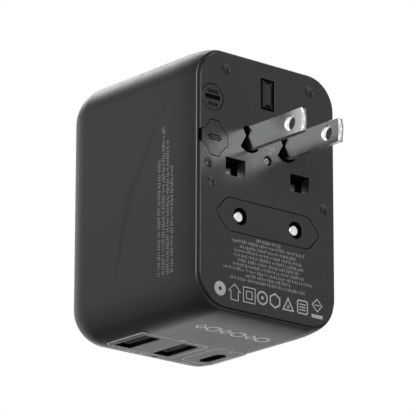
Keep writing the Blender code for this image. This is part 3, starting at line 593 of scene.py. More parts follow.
def tape(name):
    """Yellow tape in bands up the transformer."""
    shader = Shader(name)
    wave = shader.new(
        "ShaderNodeTexWave", {"Vector": shader.place, "Scale": 140.0, "Distortion": 0.4},
        wave_type="BANDS", bands_direction="Z").outputs["Fac"]
    fine = shader.noise(1800.0, detail=3.0)
    bands = shader.ranged(wave, span=(0.2, 0.8))
    shader.set(Base_Color=shader.mix(bands, (0.58, 0.42, 0.06), (0.80, 0.62, 0.12)),
               Roughness=shader.ranged(fine, to=(0.32, 0.45)))
    shader.bump((wave, 3e-5, 0.4), (fine, 1e-5, 0.2))
    return shader.material


def clear(name):
    """Glossy pale plastic of the light pipe."""
    shader = Shader(name)
    fine = shader.noise(1600.0)
    colour = shader.mix(shader.ranged(fine), (0.55, 0.60, 0.62), (0.72, 0.76, 0.78))
    shader.set(Base_Color=colour, Roughness=shader.ranged(fine, to=(0.12, 0.22)),
               Coat_Weight=0.5)
    shader.bump((fine, 6e-6, 0.2))
    return shader.material


SHELL = plastic("shell_plastic_fine", (0.030, 0.0305, 0.0305), rough=0.40, grain=4600.0,
                grain_deep=4e-6, spec=0.45, wear_and_highlight=0.12, vary=0.05, fleck=0.15)
FACE = plastic("face_plastic_satin", (0.026, 0.0265, 0.0265), rough=0.25, grain=6400.0,
               grain_deep=8e-7, spec=0.75, wear_and_highlight=0.04, vary=0.03, fleck=0.02)
DRAWER = plastic("drawer_plastic", (0.027, 0.0275, 0.0275), rough=0.29, grain=5600.0,
                 grain_deep=1.5e-6, spec=0.7, wear_and_highlight=0.08, vary=0.03, fleck=0.12)
KNOB = plastic("knob_plastic", (0.050, 0.051, 0.052), rough=0.38, vary=0.06)
BLACK = plastic("black_plastic_moulded", (0.010, 0.010, 0.0105), rough=0.45, grain=4200.0,
                spec=0.4)
# Painted shade: near-black for recess walls, hole floors, slots and engravings
PAINTED_SHADE = plastic("black_painted_recess_shade", (0.0035, 0.0035, 0.0036), rough=0.40, grain=4200.0,
              grain_deep=4e-6, spec=0.06, wear_and_highlight=0.0, vary=0.05)
# Painted shade: dark for the walls of the port openings and the mouths of the USB-A cans
PORT_SHADE = plastic("port_painted_shade", (0.0075, 0.0050, 0.0045), rough=0.42, grain=4200.0,
               grain_deep=4e-6, spec=0.3, wear_and_highlight=0.0, vary=0.05)
SLEEVE = plastic("pin_sleeve_plastic", (0.030, 0.030, 0.0305), rough=0.32, spec=0.45, vary=0.05)
NICKEL = metal("nickel_plate_drawn", (0.66, 0.665, 0.66), rough=0.24)
BLADE = metal("nickel_plate_satin", (0.64, 0.645, 0.645), rough=0.22, streak=0.012, wear_and_highlight=0.5,
              calm=0.12)
# Painted glint: near-white half-metal with a painted glow for the fronts of the EU pins
TIP_GLINT = metal("nickel_tip_painted_glint", (0.95, 0.95, 0.945), rough=0.34, streak=0.03, calm=0.2,
            glow=0.24, metallic=0.5)
RIM = metal("nickel_cut_edge", (0.62, 0.622, 0.622), rough=0.50, streak=0.02, calm=0.3)
# Painted glint: near-white half-metal with a painted glow for the lit inner walls of the blade eyes
EYE_GLINT = metal("nickel_eye_wall_painted_glint", (0.95, 0.95, 0.945), rough=0.45, along="x", streak=0.02,
            calm=0.2, glow=0.22, metallic=0.5)
BRASS = metal("brass_stamped", (0.72, 0.53, 0.24), rough=0.32)
STEEL = metal("spring_steel_bright", (0.55, 0.55, 0.56), rough=0.28)
OXIDE = metal("screw_black_oxide", (0.31, 0.31, 0.315), rough=0.36, streak=0.2)
CAN = metal("connector_can_dull", (0.30, 0.30, 0.305), rough=0.42, along="z", streak=0.3)
# Painted light: flat pale grey on the inner walls of the USB-A cans, in place of their lit metal
CAN_PAINTED_LIGHT = plastic("connector_can_painted_light", (0.42, 0.425, 0.42), rough=0.5, grain_deep=4e-6, spec=0.4,
                 wear_and_highlight=0.1, vary=0.05)
BOARD = solder_mask("board_green_mask")
FUSE_MAIN = ceramic("fuse_ceramic_main", FUSE_Y)
FUSE_SPARE = ceramic("fuse_ceramic_spare", SPARE_Y)
CORE = tape("transformer_tape_wrapped")
LENS = clear("light_pipe_clear")
INK = ink("printed_grey", (0.60, 0.605, 0.605))
INK_SOFT = ink("printed_grey_side", (0.40, 0.405, 0.405))
INK_ROW = ink("printed_grey_rows", (0.46, 0.465, 0.465))
INK_SILVER = ink("printed_silver", (0.86, 0.865, 0.865), rough=0.40, silver=0.32)


# ------------------------------------------------------------------ main shell
def section(inset, steps=20):
    """Cross-section of the body, moved inwards."""
    radius = max(CORNER_R - inset * 0.75, 1.0)
    return soft_rect(0, MID_Z, BODY_W - 2 * inset, BODY_H - 2 * inset, radius, steps)


def back_inset(y):
    """How far the roll towards the socket face has moved in at y."""
    return BACK_R * (1 - math.cos(math.asin((y - ROLL_Y) / BACK_R)))


FACE_IN = back_inset(BACK_Y) + 1.15          # inset of the opening for the socket face
USB_A_XS = (-USB_X, 0.0)
PIPE_Y = 18.2                                # small round hole in the bottom
NOTCH_X0, NOTCH_X1, NOTCH_HALF = -23.05, -21.0, 1.8  # notch in the rim beside the fuse drawer
# Facet on the left side: y, z and depth of its top, upper fold, low and lower fold corners
SLIVER = ((-18.42, 61.98, -0.015), (1.38, 34.14, -0.015),
          (5.59, 10.1, -0.015), (-1.69, 33.54, 0.26))
# Slightly wider y, z outline that catches the facet's edges
SLIVER_ZONE = [(-18.6, 62.3), (1.5, 34.2), (5.8, 9.8), (-1.85, 33.5)]


def shell_outer():
    start = math.acos(1 - RIM_R / TAPER_L)
    narrow = TAPER_IN * (1 - math.sin(start))
    levels = [(RIM_Y + RIM_R * depth, section(narrow + RIM_R * inset))
              for depth, inset in quarter(5)[:-1]]
    for k in range(13):                                        # long flat ellipse
        turn = start + (math.pi / 2 - start) * k / 12
        levels.append((RIM_Y + TAPER_L * (1 - math.cos(turn)),
                       section(TAPER_IN * (1 - math.sin(turn)))))
    end = math.asin((BACK_R - BACK_CUT) / BACK_R) - math.radians(2.0)
    for k in range(17):                                        # roll towards the socket face
        turn = end * k / 16
        levels.append((ROLL_Y + BACK_R * math.sin(turn), section(BACK_R * (1 - math.cos(turn)))))
    last_y, last_in = levels[-1][0], BACK_R * (1 - math.cos(end))
    levels.append((last_y + (BACK_Y - last_y) * 0.62, section(last_in + 0.26)))
    levels.append((BACK_Y, section(last_in + 0.62)))
    return stack("y", *levels)


def sliver():
    """Cutter for the long kinked facet: two tilted planes that fold at a short ridge."""
    points = [(-HALF_W + depth, y, z) for y, z, depth in SLIVER]
    points += [(-HALF_W - 2, y, z) for y, z, depth in SLIVER]
    sides = [(i, (i + 1) % 4, (i + 1) % 4 + 4, i + 4) for i in range(4)]
    return faceted(points, [(0, 1, 3), (1, 2, 3), (4, 5, 6, 7), *sides])


def hollow_shell(shell):
    """The cavity from the front and the opening for the socket face; (y, inset) steps."""
    cavity = (
        (FACE_Y - 4, 3.05), (RIM_Y, 3.05), (RIM_Y + 0.08, 2.88), (RIM_Y + 0.25, 2.8),
        (-22.5, 2.8), (-21.5, WALL), (17.5, WALL), (21.5, back_inset(21.5) + WALL),
        (LIP_Y, back_inset(LIP_Y) + WALL - 0.1),
    )
    opening = (
        (LIP_Y - 4, FACE_IN), (BACK_Y - 0.22, FACE_IN), (BACK_Y - 0.08, FACE_IN - 0.07),
        (BACK_Y, FACE_IN - 0.22), (BACK_Y + 4, FACE_IN - 0.22),
    )
    for steps in (cavity, opening):
        shell.cut(stack("y", *((y, section(inset)) for y, inset in steps)))


def cut_track(shell):
    """Slider track in the right side and a slot for each knob."""
    track = soft_rect(-1.6, KNOBS["us"][0], 42.6, 39.6, 4.0, 12)
    shell.cut(mouth("x", track, HALF_W, -1, HALF_W - TRACK_X, 0.28, 5, floor_r=0.3))
    for z, y, forward, backward in KNOBS.values():
        low, high = y + forward - 1.9, y + backward + 1.9
        slot = soft_rect((low + high) / 2, z, high - low, 3.2, 1.55, 10)
        shell.cut(mouth("x", slot, TRACK_X, -1, 3.4, 0.14, 3))


def cut_ports(shell):
    for x in USB_A_XS:
        shell.cut(mouth("z", soft_rect(x, USB_Y, 5.2, 12.6, 0.45), 0.0, 1, 4.0, 0.22))
    shell.cut(mouth("z", soft_rect(USB_X, USB_Y, 3.3, 9.0, 1.64, 14), 0.0, 1, 4.0, 0.2))
    shell.cut(mouth("z", circle(0, PIPE_Y, 0.65, 32), 0.0, 1, 4.0, 0.12, 3))


# Walls of the notch, which get painted shade
def notch_wall_shade(x, y, z, normal):
    return (NOTCH_X0 - 0.01 <= x < NOTCH_X1 and RIM_Y + 0.01 < y < RIM_Y + 1.3
            and abs(z - FUSE_Z) < NOTCH_HALF + 0.05)


# Walls of the port openings, which get painted shade
def port_wall_shade(x, y, z, normal):
    if not (0.14 < z < 2.2 and abs(normal.z) < 0.5):
        return False
    off_y = abs(y - USB_Y)
    return (any(abs(x - port_x) < 2.75 and off_y < 6.5 for port_x in USB_A_XS)
            or (abs(x - USB_X) < 1.8 and off_y < 4.7)
            or (abs(x) < 0.8 and abs(y - PIPE_Y) < 0.8))


def mark_sliver(mesh):
    """Keeps the folds of the facet crisp: only its edges lie inside its zone."""
    sharp = (mesh.attributes.get("sharp_edge")
             or mesh.attributes.new("sharp_edge", "BOOLEAN", "EDGE"))
    for edge in mesh.edges:
        first, second = (mesh.vertices[i].co / MM for i in edge.vertices)
        middle = (first + second) / 2
        if (max(first.x, second.x, middle.x) < -24.3
                and inside(SLIVER_ZONE, middle.y, middle.z)):
            sharp.data[edge.index].value = True


def main_shell():
    shell = Solid("main_shell_fine", shell_outer())
    hollow_shell(shell)
    cut_track(shell)
    cut_ports(shell)
    shell.cut(block(NOTCH_X0, NOTCH_X1, RIM_Y - 1, RIM_Y + 1.2,
                    FUSE_Z - NOTCH_HALF, FUSE_Z + NOTCH_HALF))
    shell.cut(sliver())
    for x in (-17.6, 17.6):                                    # posts for the board screws
        shell.add(rounded("z", circle(x, 19.6, 2.0, 32), 1.2, 15.1, 0, 0.2))
        shell.cut(prism(circle(x, 19.6, 1.2, 24), 5.0, 18.0, "z"))
    obj = finish(shell.done(24), SHELL, "housing", "shell_plastic", "main_shell")
    paint(obj, FACE, lambda x, y, z, normal: y < RIM_Y + 0.5 and -0.985 < normal.y < -0.1)
    # Painted shade in the notch beside the fuse drawer and on the walls of the port openings
    paint(obj, PAINTED_SHADE, notch_wall_shade)
    paint(obj, PORT_SHADE, port_wall_shade)
    mark_sliver(obj.data)


main_shell()

# ------------------------------------------------------------------ plug face plate
DIMPLES = ((-14.35, 65.6), (14.55, 65.6), (-20.4, 38.95), (-19.2, 34.1), (19.4, 34.1))  # x, z
DIMPLE_R, BOWL_R = 1.5, 1.35
DEEP = PLATE_T + 1.5


def plate_outline(inset):
    high, middle = PLATE_Z1 - PLATE_Z0, (PLATE_Z0 + PLATE_Z1) / 2
    return soft_rect(0, middle, PLATE_W - 2 * inset, high - 2 * inset, PLATE_R - inset, 16)


PLATE_FIELD = plate_outline(0.6)


def cut_pin_apertures(plate):
    plate.cut(mouth("y", soft_rect(0, Z_EARTH, 4.74, 8.5, 0.22, 4), FACE_Y, 1, DEEP, 0.1, 3))
    for side in SIDES:
        power = soft_rect(side * X_UK, Z_LN, 6.68, 4.7, 0.22, 4)
        plate.cut(mouth("y", power, FACE_Y, 1, DEEP, 0.1, 3))
        plate.cut(mouth("y", bow_tie(side * X_US, Z_US), FACE_Y, 1, DEEP, 0.08, 2))
    plate.cut(mouth("y", hexagon(0.22), FACE_Y, 1, DEEP, 0.05, 2))


def cut_fuse_openings(plate):
    bore = FUSE_R + 0.35
    plate.cut(mouth("y", ear_octagon(0.2), FACE_Y, 1, 0.95, 0.03, 2))
    plate.cut(prism(circle(FUSE_X, FUSE_Z, bore, 40), FACE_Y - 1, FACE_Y + DEEP))
    plate.cut(mouth("y", circle(CAP_X, SPARE_Z, 3.7, 64), FACE_Y, 1, 0.95, 0.04, 2))
    plate.cut(prism(circle(SPARE_FUSE_X, SPARE_Z, bore, 40), FACE_Y - 1, FACE_Y + DEEP))
    plate.cut(block(-25, -22.3, FACE_Y - 1, FACE_Y + 4.0,
                    FUSE_Z - NOTCH_HALF, FUSE_Z + NOTCH_HALF))


def dimple(x, z):
    """Cutter with a softened rim, then a shallow spherical bowl."""
    profile = [(-1, DIMPLE_R), (0, DIMPLE_R), (0.03, 1.42), (0.09, BOWL_R)]
    for k in range(1, 8):
        radius = BOWL_R * (1 - k / 8)
        profile.append((0.09 + 0.32 * (1 - (radius / BOWL_R) ** 2), radius))
    return turned(x, z, FACE_Y, profile, 40)


def plate_wall_shade(x, y, z, normal):
    """Recess walls that get painted shade, but not the screw seat's right wall, the outer or inner
    ends of the power apertures that look to -X, or the dimples, which stay lit."""
    off_pin = abs(abs(x) - X_UK)
    screw_side = normal.x < -0.2 and math.hypot(x, z - Z_SCREW) < 1.45
    power_end = normal.x < -0.9 and abs(z - Z_LN) < 2.3 and 3.0 < off_pin < 3.6
    return (y > FACE_Y + 0.05 and normal.y > -0.97 and inside(PLATE_FIELD, x, z)
            and not screw_side and not power_end
            and not any(math.hypot(x - mid_x, z - mid_z) < DIMPLE_R + 0.05
                        for mid_x, mid_z in DIMPLES))


# Deep floors of the recesses, which get painted shade
def plate_floor_shade(x, y, z, normal):
    return y > FACE_Y + 0.5 and normal.y < -0.97 and inside(PLATE_FIELD, x, z)


def plug_plate():
    levels = [(FACE_Y + 0.2 * depth, plate_outline(0.2 * inset)) for depth, inset in quarter(5)]
    levels += [
        (FACE_Y + FLANGE_T, plate_outline(0.0)),
        (FACE_Y + FLANGE_T + 0.001, plate_outline(SPIGOT_IN)),
        (FACE_Y + PLATE_T - 0.2, plate_outline(SPIGOT_IN)),
        (FACE_Y + PLATE_T, plate_outline(SPIGOT_IN + 0.2)),
    ]
    plate = Solid("plug_face_plate_fine", stack("y", *levels))
    cut_pin_apertures(plate)
    cut_fuse_openings(plate)
    plate.cut(mouth("y", circle(0, Z_SCREW, 1.25, 40), FACE_Y, 1, 1.5, 0.14))
    plate.cut(prism(circle(0, Z_SCREW, 0.9, 24), FACE_Y - 1, FACE_Y + DEEP))
    for x, z in DIMPLES:
        plate.cut(dimple(x, z))
    obj = finish(plate.done(30), FACE, "housing", "face_plastic", "plug_face_plate")
    # Painted shade on the recess walls and the deep floors
    paint(obj, PAINTED_SHADE, plate_wall_shade)
    paint(obj, PAINTED_SHADE, plate_floor_shade)


plug_plate()


# ------------------------------------------------------------------ socket face
def socket_apertures():
    """(outline, depth, rim radius); depths and radii differ so that no cutter faces coincide."""
    yield soft_rect(0, SOCKET_Z + EARTH_RISE, 4.9, 8.8, 0.3, 4), 6.5, 0.32
    for side in SIDES:
        yield soft_rect(side * X_UK, SOCKET_Z, 7.0, 4.8, 0.3, 4), 6.4, 0.32
        yield circle(side * X_EU, SOCKET_Z, 2.7, 40, 0.05), 6.3, 0.316
        yield soft_rect(side * X_US, SOCKET_Z, 1.9, 7.5, 0.2, 3), 6.2, 0.312
        yield tilted(side * 7.4, SOCKET_Z, 1.95, 7.6, side * 30), 6.1, 0.308
    yield soft_rect(0, SOCKET_Z + 10.1, 2.1, 7.4, 0.3, 4), 6.0, 0.32
    yield circle(0, SOCKET_Z - 11.9, 2.6, 40), 6.0, 0.32


def socket_face():
    flange_in, face_in, field_deep = back_inset(LIP_Y) + WALL + 0.25, FACE_IN + 0.22, 0.35
    levels = [
        (22.9, section(flange_in, 14)),
        (LIP_Y - 0.25, section(flange_in, 14)),
        (LIP_Y - 0.249, section(face_in, 14)),
    ]
    for depth, inset in reversed(quarter(4)):
        levels.append((BACK_Y - 0.3 * depth, section(face_in + 0.3 * inset, 14)))
    socket = Solid("socket_face_fine", stack("y", *levels))
    field = soft_rect(0, 40.5, 34.0, 50.0, 7.0, 14)            # shallow sunk field
    socket.cut(mouth("y", field, BACK_Y, -1, field_deep, 0.15, 3, floor_r=0.15))
    for outline, deep, radius in socket_apertures():
        socket.cut(mouth("y", outline, BACK_Y - field_deep, -1, deep, radius))
    finish(socket.done(30), FACE, "housing", "face_plastic", "socket_face")


socket_face()


# ------------------------------------------------------------------ EU block
def eu_block():
    levels = [(FACE_Y + 0.08 * depth, hexagon(-0.08 * inset)) for depth, inset in quarter(4)]
    levels += [(BLOCK_BACK - 0.2, hexagon(0.0)), (BLOCK_BACK, hexagon(-0.2))]
    eu = Solid("eu_block_fine", stack("y", *levels))
    for side in SIDES:
        eu.cut(mouth("y", circle(side * X_EU, Z_EU, 2.3), FACE_Y, 1, 16.0, 0.14))
    obj = finish(eu.done(30), FACE, "eu_block_body", "face_plastic", "eu_block")
    # Painted shade on the walls of the pin bores
    paint(obj, PAINTED_SHADE, lambda x, y, z, normal: y > FACE_Y + 0.1 and any(
        math.hypot(x - side * X_EU, z - Z_EU) < 2.46 for side in SIDES))


eu_block()


# ------------------------------------------------------------------ caps of the two fuses
def fuse_symbol(solid, x, z, wide, high, line, reach):
    """Engraved rectangle with a straight line through it that reaches out to both sides."""
    x0, z0, x1, z1 = x - wide / 2, z - high / 2, x + wide / 2, z + high / 2
    for left, low, right, top in (
        (x0, z0, x1, z0 + line),
        (x0, z1 - line, x1, z1),
        (x0, z0 + line * 0.5, x0 + line, z1 - line * 0.5),
        (x1 - line, z0 + line * 0.5, x1, z1 - line * 0.5),
        (x - reach, z - line / 2, x + reach, z + line / 2),
    ):
        solid.cut(block(left, right, FACE_Y - 1, FACE_Y + 0.3, low, top))


def fuse_cap():
    """Cap of the fuse drawer."""
    cap = Solid("fuse_cap_fine",
                rounded("y", ear_octagon(0.0), FACE_Y, FACE_Y + 0.7, 0.05, 0, 2))
    cap.add(rounded("y", circle(FUSE_X, FUSE_Z, FUSE_R, 40), FACE_Y + 0.4, FACE_Y + 2.5, 0, 0.2))
    fuse_symbol(cap, FUSE_X - 0.1, FUSE_Z + 0.1, 3.7, 1.5, line=0.3, reach=2.6)
    obj = finish(cap.done(25), DRAWER, "fuse_drawer", "face_plastic", "fuse_cap")
    # Painted shade in the engraved symbol and on the side of the cap
    paint(obj, PAINTED_SHADE, lambda x, y, z, normal: FACE_Y + 0.04 < y < FACE_Y + 0.66)


def spare_cap():
    """Round cap of the spare fuse with a coin slot."""
    cap = Solid("spare_fuse_cap_fine",
                rounded("y", circle(CAP_X, SPARE_Z, 3.51, 72), FACE_Y, FACE_Y + 0.7, 0.1, 0.05, 3))
    cap.add(prism(circle(SPARE_X, SPARE_Z, 2.1, 36), FACE_Y + 0.4, FACE_Y + 2.3))
    slot = soft_rect(SPARE_X, SPARE_Z, 5.1, 1.2, 0.35)
    cap.cut(mouth("y", slot, FACE_Y, 1, 0.5, 0.05, 3, floor_r=0.1))
    for rise, wide, reach in ((1.5, 3.3, 2.2), (-1.95, 2.7, 1.8)):
        fuse_symbol(cap, SPARE_X, SPARE_Z + rise, wide, 0.85, line=0.2, reach=reach)
    obj = finish(cap.done(25), DRAWER, "spare_cap", "face_plastic", "spare_fuse_cap")
    # Painted shade in the coin slot, the engraved symbols and on the side of the cap
    paint(obj, PAINTED_SHADE, lambda x, y, z, normal: FACE_Y + 0.06 < y < FACE_Y + 0.66)


fuse_cap()
spare_cap()

# ------------------------------------------------------------------ slider knobs
KNOB_L, KNOB_H, KNOB_R, KNOB_TOP = 9.0, 9.6, 2.0, 25.4


def knob(key, body):
    z, y = KNOBS[key][:2]

    def outline(inset):
        return soft_rect(y, z, KNOB_L - 2 * inset, KNOB_H - 2 * inset, KNOB_R - inset, 10)

    levels = [(24.0, soft_rect(y, z, KNOB_L - 0.3, KNOB_H - 0.3, KNOB_R - 0.1, 10)),
              (24.15, outline(0.0)), (KNOB_TOP - 0.5, outline(0.0))]
    levels += [(KNOB_TOP - 0.5 * inset, outline(0.5 * depth)) for depth, inset in
               ((1 - out, 1 - up) for out, up in [(math.cos(turn), math.sin(turn)) for turn in
                (math.radians(90 * k / 5) for k in range(1, 6))])]
    solid = Solid(key + "_knob_fine", stack("x", *levels))
    solid.add(prism(rect(y - 1.4, z - 1.1, y + 1.4, z + 1.1), 20.9, 24.4, "x"))
    for i in range(5):                                         # finger ribs
        groove = soft_rect(y + (i - 2) * 1.45, z, 0.62, 6.4, 0.3)
        solid.cut(mouth("x", groove, KNOB_TOP, -1, 0.34, 0.1, 3, floor_r=0.12))
    finish(solid.done(28), KNOB, body, "face_plastic", key + "_knob")


for key, body in (("uk", "uk_slider"), ("us", "us_slider"), ("eu", "eu_pins")):
    knob(key, body)

# ------------------------------------------------------------------ US / AU blades
BLADE_Z, BLADE_HALF = Z_US - US_DROP, 3.175
EYE_Y = FACE_Y - 16.6
# Layers from face to core: half thickness, reach of the end in front of the plug face, bulge of
# the end, narrowing of the end, inset of the long edges
BLADE_LAYERS = (
    (0.75, 21.06, 0.0, 0.05, 0.07),
    (0.71, 21.10, 0.03, 0.04, 0.015),
    (0.66, 21.14, 0.06, 0.05, 0.0),
    (0.30, US_BLADE_OUT - 0.62, 0.56, 0.30, 0.0),
    (0.22, US_BLADE_OUT - 0.60, 0.60, 0.36, 0.0),
)
# Eye cutter: x from the blade's middle, radius
EYE_PROFILE = ((-2, 2.02), (-0.75, 2.02), (-0.55, 1.84), (-0.4, 1.72),
               (0.4, 1.72), (0.55, 1.84), (0.75, 2.02), (2, 2.02))


def blade_side(reach, crown, narrow, edge):
    """Side view in y, z with a bulging end."""
    half, root_y, neck_y = BLADE_HALF - edge, -21.6, FACE_Y - 19.9
    points = [(root_y, BLADE_Z - half), (neck_y, BLADE_Z - half)]
    for k in range(21):
        across = -1 + k / 10
        points.append((FACE_Y - reach - crown * (1 - across * across),
                       BLADE_Z + (half - narrow) * across))
    points += [(neck_y, BLADE_Z + half), (root_y, BLADE_Z + half)]
    return ccw(points)


def blade(key, side):
    """Flat blade: crisp long edges, an end chamfered on both faces, an eye near it."""
    middle = side * X_US
    layers = [(half, blade_side(*shape)) for half, *shape in BLADE_LAYERS]
    levels = [(middle - half, outline) for half, outline in layers]
    levels += [(middle + half, outline) for half, outline in reversed(layers)]
    solid = Solid("us_blade_%s_fine" % key, stack("x", *levels))
    solid.cut(turned(EYE_Y, BLADE_Z + 0.05, middle, EYE_PROFILE, 56, "x"))
    obj = finish(solid.done(24), BLADE, "us_blade_%s_body" % key, "nickel_plate",
                 "us_blade_" + key)
    paint(obj, RIM, lambda x, y, z, normal: y < FACE_Y - 21.09 and normal.y < -0.2)
    # Painted glint on the half of the eye wall that looks to -Y
    paint(obj, EYE_GLINT, lambda x, y, z, normal: (
        math.hypot(y - EYE_Y, z - BLADE_Z) < 1.95 and abs(normal.x) < 0.85 and normal.y < -0.05))


for key, side in (("left", -1), ("right", 1)):
    blade(key, side)

# ------------------------------------------------------------------ UK pins
# Tapered lead-in: depth behind the tip, inset
EARTH_LEAD = ((0.0, 1.21), (0.03, 1.17), (0.31, 0.27), (0.42, 0.17), (1.2, 0.03), (1.35, 0.0))
POWER_LEAD = ((0.0, 0.68), (0.05, 0.61), (0.12, 0.52), (0.68, 0.1), (0.8, 0.03), (0.95, 0.0))


def uk_pin(name, x, z, wide, high, lead, tip_y, material, slot_name):
    stations = [(tip_y + depth, inset) for depth, inset in lead] + [(PIN_END, 0.0)]
    levels = [(y, soft_rect(x, z, wide - 2 * inset, high - 2 * inset, 0.28, 5))
              for y, inset in stations]
    pin = Solid(name + "_fine", stack("y", *levels))
    return finish(pin.done(22), material, "uk_slider", slot_name, name)


earth_pin = uk_pin("uk_pin_earth", 0, Z_EARTH, 4.0, 8.0, EARTH_LEAD, EARTH_TIP, SLEEVE,
                   "black_plastic")
# Painted shade on the pin inside its aperture, except the flat end and a lit strip on its left
# bevel
paint(earth_pin, PAINTED_SHADE, lambda x, y, z, normal: (
    y < EARTH_TIP + 4.0 and normal.y > -0.97
    and not (normal.x < -0.2 and y < EARTH_TIP + 0.32)))
for name, side in (("uk_pin_line", -1), ("uk_pin_neutral", 1)):
    uk_pin(name, side * X_UK, Z_LN, 6.3, 3.95, POWER_LEAD, LN_TIP, NICKEL, "nickel_plate")

# ------------------------------------------------------------------ EU pins
EU_R = 2.0
# Rounded metal tip: depth behind the tip, radius
EU_NOSE = ((0.0, 0.5), (0.02, 0.85), (0.06, 1.08), (0.13, 1.24), (0.24, 1.38), (0.42, 1.55),
           (0.66, 1.74), (0.92, 1.9), (1.15, 1.98), (1.3, EU_R), (8.6, EU_R), (8.7, EU_R - 0.1))


def eu_pin(key, side):
    """Metal tip with a painted glint on its front and a dark sleeve behind it."""
    middle = side * X_EU
    metal_part = Solid("eu_pin_%s_tip" % key, turned(middle, Z_EU, EU_TIP, EU_NOSE))
    tip = finish(metal_part.done(40), NICKEL, "eu_pins", "nickel_plate", "eu_pin_" + key)
    # Painted glint on the front of the tip
    paint(tip, TIP_GLINT, lambda x, y, z, normal: (
        math.hypot(x - middle, z - Z_EU) < 1.2 and y < EU_TIP + 0.3))
    length = BLOCK_BACK + EU_PIN_TRAVEL + 0.2 - EU_TIP
    profile = ((8.72, EU_R - 0.15), (8.85, EU_R), (length - 0.1, EU_R), (length, EU_R - 0.1))
    sleeve = Solid("eu_pin_%s_sleeve" % key, turned(middle, Z_EU, EU_TIP, profile, 40))
    finish(sleeve.done(30), SLEEVE, "eu_pins", "black_plastic")


for key, side in (("line", -1), ("neutral", 1)):
    eu_pin(key, side)

# ------------------------------------------------------------------ fuses
# One half of a fuse: distance from its end, inset from its radius
FUSE_HALF = ((0, 0.35), (0.04, 0.15), (0.15, 0.04), (0.35, 0),
             (4.9, 0), (5.0, 0.05), (5.03, 0.22), (9.2, 0.22))


def fuse(name, x, z, front_y, material, body):
    profile = [(depth, FUSE_R - inset) for depth, inset in FUSE_HALF]
    profile += [(FUSE_L - depth, radius) for depth, radius in reversed(profile)]
    solid = Solid(name + "_fine", turned(x, z, front_y, profile))
    solid.cut(turned(x, z, front_y, ((-1, 0.7), (0.12, 0.7), (0.2, 0.5)), 24))
    finish(solid.done(25), material, body, "fuse_ceramic", name)


fuse("main_fuse", FUSE_X, FUSE_Z, FUSE_Y, FUSE_MAIN, "fuse_drawer")
fuse("spare_fuse", SPARE_FUSE_X, SPARE_Z, SPARE_Y, FUSE_SPARE, "spare_holder")


# ------------------------------------------------------------------ USB receptacles
def contacts(name, bars):
    first, *others = bars
    solid = Solid(name, first)
    for bar in others:
        solid.add(bar)
    finish(solid.done(28), BRASS, "housing", "brass_contact")


def usb_a(key, port_x):
    can = Solid("usb_a_%s_can" % key,
                rounded("z", soft_rect(port_x, USB_Y, 5.0, 12.3, 0.4), 0.9, 15.0, 0.1, 0.1, 3))
    can.cut(mouth("z", soft_rect(port_x, USB_Y, 4.4, 11.7, 0.25, 5), 0.9, 1, 13.5, 0.16))
    for off_y in (-2.9, 2.9):                                  # windows in both broad walls
        middle = USB_Y + off_y
        can.cut(block(port_x - 3.2, port_x + 3.2, middle - 1.0, middle + 1.0, 4.2, 7.6))
    obj = finish(can.done(28), CAN, "housing", "spring_steel", "usb_a_%s_shell" % key)
    # Painted light on the inner walls of the can
    paint(obj, CAN_PAINTED_LIGHT, lambda x, y, z, normal: (
        z > 1.1 and abs(x - port_x) < 2.3 and abs(y - USB_Y) < 5.95))
    # Painted shade at the mouth of the can
    paint(obj, PORT_SHADE, lambda x, y, z, normal: z <= 1.1)
    tongue = soft_rect(port_x + 1.25, USB_Y, 1.4, 10.8, 0.2, 4)
    insert = Solid("usb_a_%s_insert" % key, rounded("z", tongue, 2.6, 14.1, 0.25, 0, 3))
    finish(insert.done(28), BLACK, "housing", "black_plastic", "usb_a_%s_tongue" % key)
    outlines = [soft_rect(port_x + 0.5, USB_Y + (i - 1.5) * 2.2, 0.14, 1.1, 0.05, 2)
                for i in range(4)]
    contacts("usb_a_%s_contacts" % key,
             [rounded("z", outline, 3.4, 12.0, 0.04, 0.04, 2) for outline in outlines])


def usb_c():
    can = Solid("usb_c_can",
                rounded("z", soft_rect(USB_X, USB_Y, 3.05, 8.75, 1.5, 14), 0.7, 15.0, 0.1, 0.1, 3))
    can.cut(mouth("z", soft_rect(USB_X, USB_Y, 2.5, 8.2, 1.24, 14), 0.7, 1, 13.7, 0.16))
    obj = finish(can.done(28), CAN, "housing", "spring_steel", "usb_c_shell")
    # Painted shade on the lower part of the can
    paint(obj, PAINTED_SHADE, lambda x, y, z, normal: z <= 6.0)
    tongue = soft_rect(USB_X, USB_Y, 0.7, 6.6, 0.3)
    insert = Solid("usb_c_insert", rounded("z", tongue, 1.6, 14.1, 0.15, 0, 3))
    # Tongue in the near-black of the painted shade
    finish(insert.done(28), PAINTED_SHADE, "housing", "black_plastic", "usb_c_tongue")
    outlines = [soft_rect(USB_X + side * 0.36, USB_Y + (i - 2.5) * 0.95, 0.06, 0.35, 0.02, 2)
                for side in SIDES for i in range(6)]
    contacts("usb_c_contacts",
             [rounded("z", outline, 2.2, 9.0, 0.02, 0.02, 2) for outline in outlines])


usb_a("left", USB_A_XS[0])
usb_a("right", USB_A_XS[1])
usb_c()

# ------------------------------------------------------------------ screw in the plug face
# Depth behind the plug face, radius
SCREW_PROFILE = ((0.55, 0.72), (0.58, 0.86), (0.66, 0.96), (0.78, 1.0),
                 (1.25, 1.0), (1.251, 0.6), (10.5, 0.6), (11.3, 0.2))


